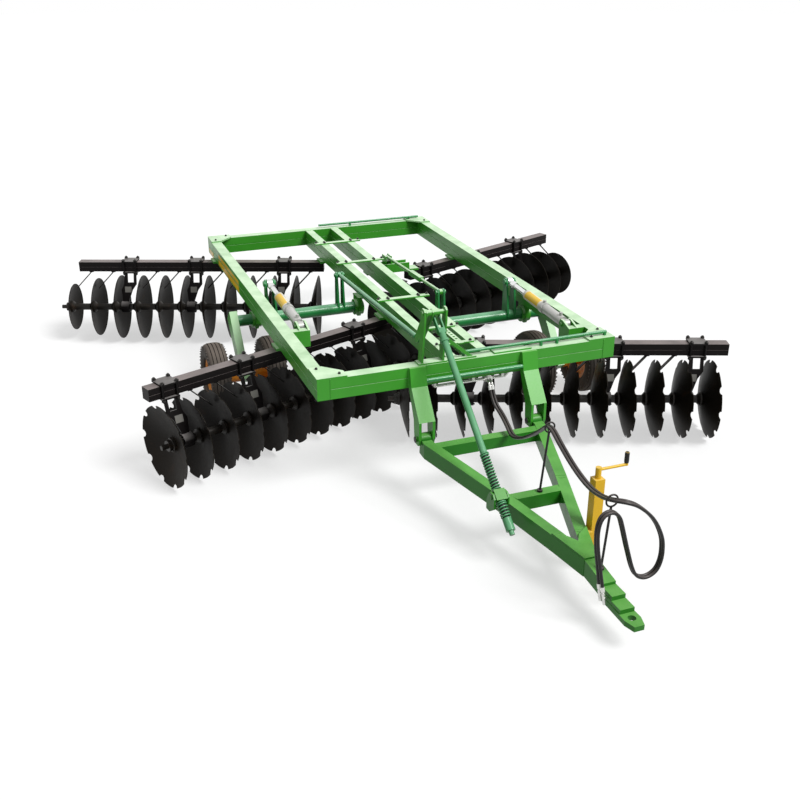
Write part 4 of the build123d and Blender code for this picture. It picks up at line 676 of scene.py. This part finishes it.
# %% Axle nuts
STACK_LENGTH = DISC_PITCH * (DISC_COUNT - 1)
for name, facts in GANGS.items():
    gang = gang_place(name)
    shapes = []
    far_hub = facts[4] * STACK_LENGTH
    for at, way in ((min(0.0, far_hub) - 0.014, -1), (max(0.0, far_hub) + 0.020, 1)):
        spot = gang @ Matrix.Translation((at, 0, 0)) @ Matrix.Rotation(way * math.pi / 2, 4, "Y")
        shapes.append(washer(spot, 0.056, 0.006))
        for i in range(4):
            angle = math.pi * (i + 0.5) / 2
            small = spot @ Matrix.Translation((0.049 * math.cos(angle), 0.049 * math.sin(angle), 0.004))
            shapes += nut(small, 0.012, 0.3)
    join_up(f"axle_nuts_{name}", shapes, axle_steel, f"gang_{name}")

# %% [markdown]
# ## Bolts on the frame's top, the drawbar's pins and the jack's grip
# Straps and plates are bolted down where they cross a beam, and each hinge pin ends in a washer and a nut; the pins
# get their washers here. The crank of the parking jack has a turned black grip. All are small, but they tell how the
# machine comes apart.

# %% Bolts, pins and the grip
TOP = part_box("frame_plates")[1][2]
HALF_WIDTH = 1.230
top_bolts = []
for behind in (1.500, 2.690, 3.430):
    for x in (-0.225, -0.140, 0.145, 0.230):
        for shift in (-0.013, 0.013):
            if abs(x) < 0.2 or shift > 0:
                top_bolts += nut(Matrix.Translation((x, FRONT + behind + shift, TOP)), 0.022, 0.2)
for behind in (0.330, 0.700):
    for x in (-0.165, -0.115, 0.120, 0.170):
        top_bolts += nut(Matrix.Translation((x, FRONT + behind, TOP)), 0.022, 0.5)
for side in (-1, 1):
    for y, inward in ((FRONT, 1), (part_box("rear_rail")[1][1], -1)):
        for a, b in ((0.050, 0.185), (0.185, 0.050)):
            top_bolts += nut(Matrix.Translation((side * (HALF_WIDTH - a), y + inward * b, TOP)), 0.020, 0.3)
join_up("top_bolts", top_bolts, bolt_steel, "frame")

pin_shapes = []
for side in ("left", "right"):
    low, high = (Vector(corner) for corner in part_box(f"hitch_bracket_{side}"))
    for x, way in ((low.x, -1.0), (high.x, 1.0)):
        end = facing((x, FRONT - 0.170, 0.460), (way, 0, 0))
        pin_shapes.append(washer(end @ Matrix.Translation((0, 0, -0.003)), 0.024, 0.004))
join_up("hinge_pins", pin_shapes, bolt_steel, "frame")

CRANK_X, CRANK_REACH = 0.184, 0.204
grip_foot = (CRANK_X + CRANK_REACH, FRONT - 1.530, 0.772)
grip_shape = turned([(0.0, 0.0132), (0.003, 0.0150), (0.020, 0.0162), (0.045, 0.0156), (0.066, 0.0160),
                     (0.075, 0.0145), (0.079, 0.0100)], 24, Matrix.Translation(grip_foot))
join_up("jack_grip", [grip_shape], grip_black, "drawbar")

# %% [markdown]
# ## Weld beads
# The frame is welded box section, and every joint shows a rounded bead. A thin tube whose radius ripples along
# the seam reads as a bead at this distance, and costs far less than a modelled joint.


# %% Run beads along the seams
def bead(start, end, radius=0.005):
    """Rippled bead from one point to another."""
    start, end = Vector(start), Vector(end)
    count = max(6, int((end - start).length / 0.009))
    path = [start.lerp(end, i / count) for i in range(count + 1)]
    radii = [radius * (0.82 + 0.18 * math.sin(2.4 * i)) for i in range(count + 1)]
    return tube(path, radii, 6)


low, high = (Vector(corner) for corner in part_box("front_rail"))
rear_low, rear_high = (Vector(corner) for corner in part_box("rear_rail"))
beads = []
for x in (low.x, high.x):
    for near, far in ((low.y, high.y), (rear_low.y, rear_high.y)):
        beads.append(bead((x, near, high.z), (x, far, high.z)))
    beads.append(bead((x, low.y, low.z), (x, low.y, high.z)))
    beads.append(bead((x, high.y, low.z), (x, high.y, high.z)))
    beads.append(bead((x, rear_low.y, low.z), (x, rear_low.y, high.z)))
    beads.append(bead((x, rear_high.y, low.z), (x, rear_high.y, high.z)))
for x in (-0.180, -0.100, 0.105, 0.185):
    for y in (high.y, rear_low.y):
        beads.append(bead((x, y, low.z), (x, y, high.z)))
for middle in (-0.140, 0.145):
    for y in (high.y, rear_low.y):
        beads.append(bead((middle - 0.04, y, high.z), (middle + 0.04, y, high.z)))
for side in (-1, 1):
    for y, inward in ((FRONT, 1), (rear_high.y, -1)):
        x = side * HALF_WIDTH
        a = (x - side * 0.230, y + inward * 0.100, 0.971)
        b = (x - side * 0.100, y + inward * 0.230, 0.971)
        beads.append(bead(a, b))
        beads.append(bead((x - side * 0.230, y + inward * 0.006, 0.971), a))
        beads.append(bead((x - side * 0.006, y + inward * 0.230, 0.971), b))
for x in (-0.418, -0.404, -0.250, -0.236):
    beads.append(bead((x, FRONT + 0.014, 0.983), (x, FRONT + 0.088, 0.983), 0.0045))
for side in (-1, 1):
    for x in (0.398, 0.526):
        beads.append(bead((side * x, FRONT - 0.001, 0.83), (side * x, FRONT - 0.001, 0.965)))
join_up("weld_beads", beads, green, "frame")

# %% [markdown]
# ## Blank plates and stripes
# The machine wears plain yellow strips along one rail and a yellow plate on each cylinder. They stay bare here:
# thin plates with slightly soft edges, a millimetre proud of the paint.


# %% Strips on the rail and plates on the cylinders
def wall_strip(x, way, y_from, y_to, z_from, z_to):
    """Thin plate on a face that looks along X."""
    place = facing((x, (y_from + y_to) / 2, (z_from + z_to) / 2), (way, 0, 0))
    centre = place.to_translation()
    corners = []
    for y, z in ((y_from, z_from), (y_to, z_from), (y_to, z_to), (y_from, z_to)):
        spot = place.inverted() @ Vector((centre.x, y, z))
        corners.append((spot.x, spot.y))
    return slab(corners, 0.0012, place, 0.0004)


rail_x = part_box("side_rail_left")[0][0]
strips = [wall_strip(rail_x, -1, FRONT + 3.835, FRONT + 4.060, 0.816, 0.868),
          wall_strip(rail_x, -1, FRONT + 2.600, FRONT + 3.560, 0.897, 0.935),
          wall_strip(rail_x, -1, FRONT + 2.600, FRONT + 3.560, 0.824, 0.880)]
join_up("rail_strips", strips, label_yellow, "frame")

CYLINDER_X = {"left": -1.030, "right": 1.030}
EYE_RADIUS = 0.038
BAND_FROM, BAND_TO, BAND_RADIUS, BAND_THICKNESS = 0.405, 0.690, 0.0432, 0.0006
PLATE_ENDS, PLATE_RADIUS = (0.430, 0.665), 0.0445
PLATE_START, PLATE_SWEEP, PLATE_STEPS = -8, 100, 9
barrel_rise = math.atan2(50.0, 1050.0)
aim = Vector((0, math.cos(barrel_rise), math.sin(barrel_rise)))
for side, x in CYLINDER_X.items():
    barrel_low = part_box(f"barrel_{side}")[0]
    eye = Vector((x, barrel_low[1] + EYE_RADIUS, barrel_low[2] + EYE_RADIUS))
    band_rows = [(BAND_FROM, BAND_RADIUS), (BAND_FROM + 0.001, BAND_RADIUS + BAND_THICKNESS),
                 (BAND_TO - 0.001, BAND_RADIUS + BAND_THICKNESS), (BAND_TO, BAND_RADIUS)]
    band = turned(band_rows, 40, facing(eye, aim))
    join_up(f"cream_band_{side}", [band], cream, f"cylinder_{side}")
    plate_points, plate_faces = [], []
    for along in PLATE_ENDS:
        for i in range(PLATE_STEPS):
            angle = math.radians(PLATE_START + PLATE_SWEEP * i / (PLATE_STEPS - 1))
            sideways = Vector((-math.sin(angle) * PLATE_RADIUS, 0, 0))
            upwards = aim.cross(Vector((1, 0, 0))) * -math.cos(angle) * PLATE_RADIUS
            plate_points.append(eye + aim * along + sideways + upwards)
    for i in range(PLATE_STEPS - 1):
        plate_faces.append((i, i + 1, PLATE_STEPS + i + 1, PLATE_STEPS + i))
    sticker = join_up(f"cylinder_plate_{side}", [(plate_points, plate_faces)], label_yellow, f"cylinder_{side}")
    thick = sticker.modifiers.new("thickness", "SOLIDIFY")
    thick.thickness = 0.0006

# %% [markdown]
# ## Floor and light
# The photograph is a cut-out on white, with a soft grey shadow under the discs. A large pale disc catches that
# shadow. Floor and world look white to the camera and in reflections, while what they throw on the machine is
# dimmer, so that its sides and undersides stay dark.

# %% Which rays see the white backdrop
def looked_at(tree):
    """A socket that is 1 for the camera's rays and for mirrored or refracted ones, and 0 for light on the harrow."""
    paths = tree.nodes.new("ShaderNodeLightPath")
    total = paths.outputs["Is Camera Ray"]
    for ray in ("Is Glossy Ray", "Is Transmission Ray"):
        either = tree.nodes.new("ShaderNodeMath")
        either.operation = "MAXIMUM"
        tree.links.new(total, either.inputs[0])
        tree.links.new(paths.outputs[ray], either.inputs[1])
        total = either.outputs[0]
    return total


# %% Floor, world and lamps
FLOOR_REACH, FLOOR_SIDES, FLOOR_GREY, FLOOR_GLOW = 60, 96, 0.40, 0.56
SKY_STRENGTH, SUN_STRENGTH, SUN_SOFTNESS = 0.42, 3.1, 24
floor_mesh = bpy.data.meshes.new("floor")
floor_angles = [2 * math.pi * i / FLOOR_SIDES for i in range(FLOOR_SIDES)]
rim = [(FLOOR_REACH * math.cos(angle), FLOOR_REACH * math.sin(angle), -0.001) for angle in floor_angles]
floor_mesh.from_pydata(rim, [], [tuple(range(FLOOR_SIDES))])
floor = bpy.data.objects.new("floor", floor_mesh)
bpy.context.collection.objects.link(floor)
floor_paint = bpy.data.materials.new("pale_floor")
floor_paint.use_nodes = True
floor_shader = floor_paint.node_tree.nodes["Principled BSDF"]
floor_shader.inputs["Base Color"].default_value = (FLOOR_GREY, FLOOR_GREY, FLOOR_GREY, 1.0)
floor_shader.inputs["Emission Color"].default_value = (1.0, 1.0, 1.0, 1.0)
floor_glow = floor_paint.node_tree.nodes.new("ShaderNodeMath")
floor_glow.operation = "MULTIPLY"
floor_glow.inputs[1].default_value = FLOOR_GLOW
floor_paint.node_tree.links.new(looked_at(floor_paint.node_tree), floor_glow.inputs[0])
floor_paint.node_tree.links.new(floor_glow.outputs[0], floor_shader.inputs["Emission Strength"])
floor_shader.inputs["Roughness"].default_value = 0.9
floor_mesh.materials.append(floor_paint)

world = bpy.data.worlds.new("studio")
bpy.context.scene.world = world
world.use_nodes = True
sky = world.node_tree
sky.nodes.clear()
seen = sky.nodes.new("ShaderNodeBackground")
seen.inputs["Strength"].default_value = 1.0
seen.inputs["Color"].default_value = (1.0, 1.0, 1.0, 1.0)
lighting = sky.nodes.new("ShaderNodeBackground")
lighting.inputs["Color"].default_value = (1.0, 1.0, 1.0, 1.0)
lighting.inputs["Strength"].default_value = SKY_STRENGTH
pick = sky.nodes.new("ShaderNodeMixShader")
sky_out = sky.nodes.new("ShaderNodeOutputWorld")
sky.links.new(looked_at(sky), pick.inputs["Fac"])
sky.links.new(lighting.outputs[0], pick.inputs[1])
sky.links.new(seen.outputs[0], pick.inputs[2])
sky.links.new(pick.outputs[0], sky_out.inputs["Surface"])

sun_data = bpy.data.lights.new("key", "SUN")
sun_data.energy = SUN_STRENGTH
sun_data.angle = math.radians(SUN_SOFTNESS)
sun = bpy.data.objects.new("key", sun_data)
sun.rotation_euler = (math.radians(40), 0.0, math.radians(38))
bpy.context.collection.objects.link(sun)
bpy.context.scene.view_settings.view_transform = "Standard"
print("lamps", 1)
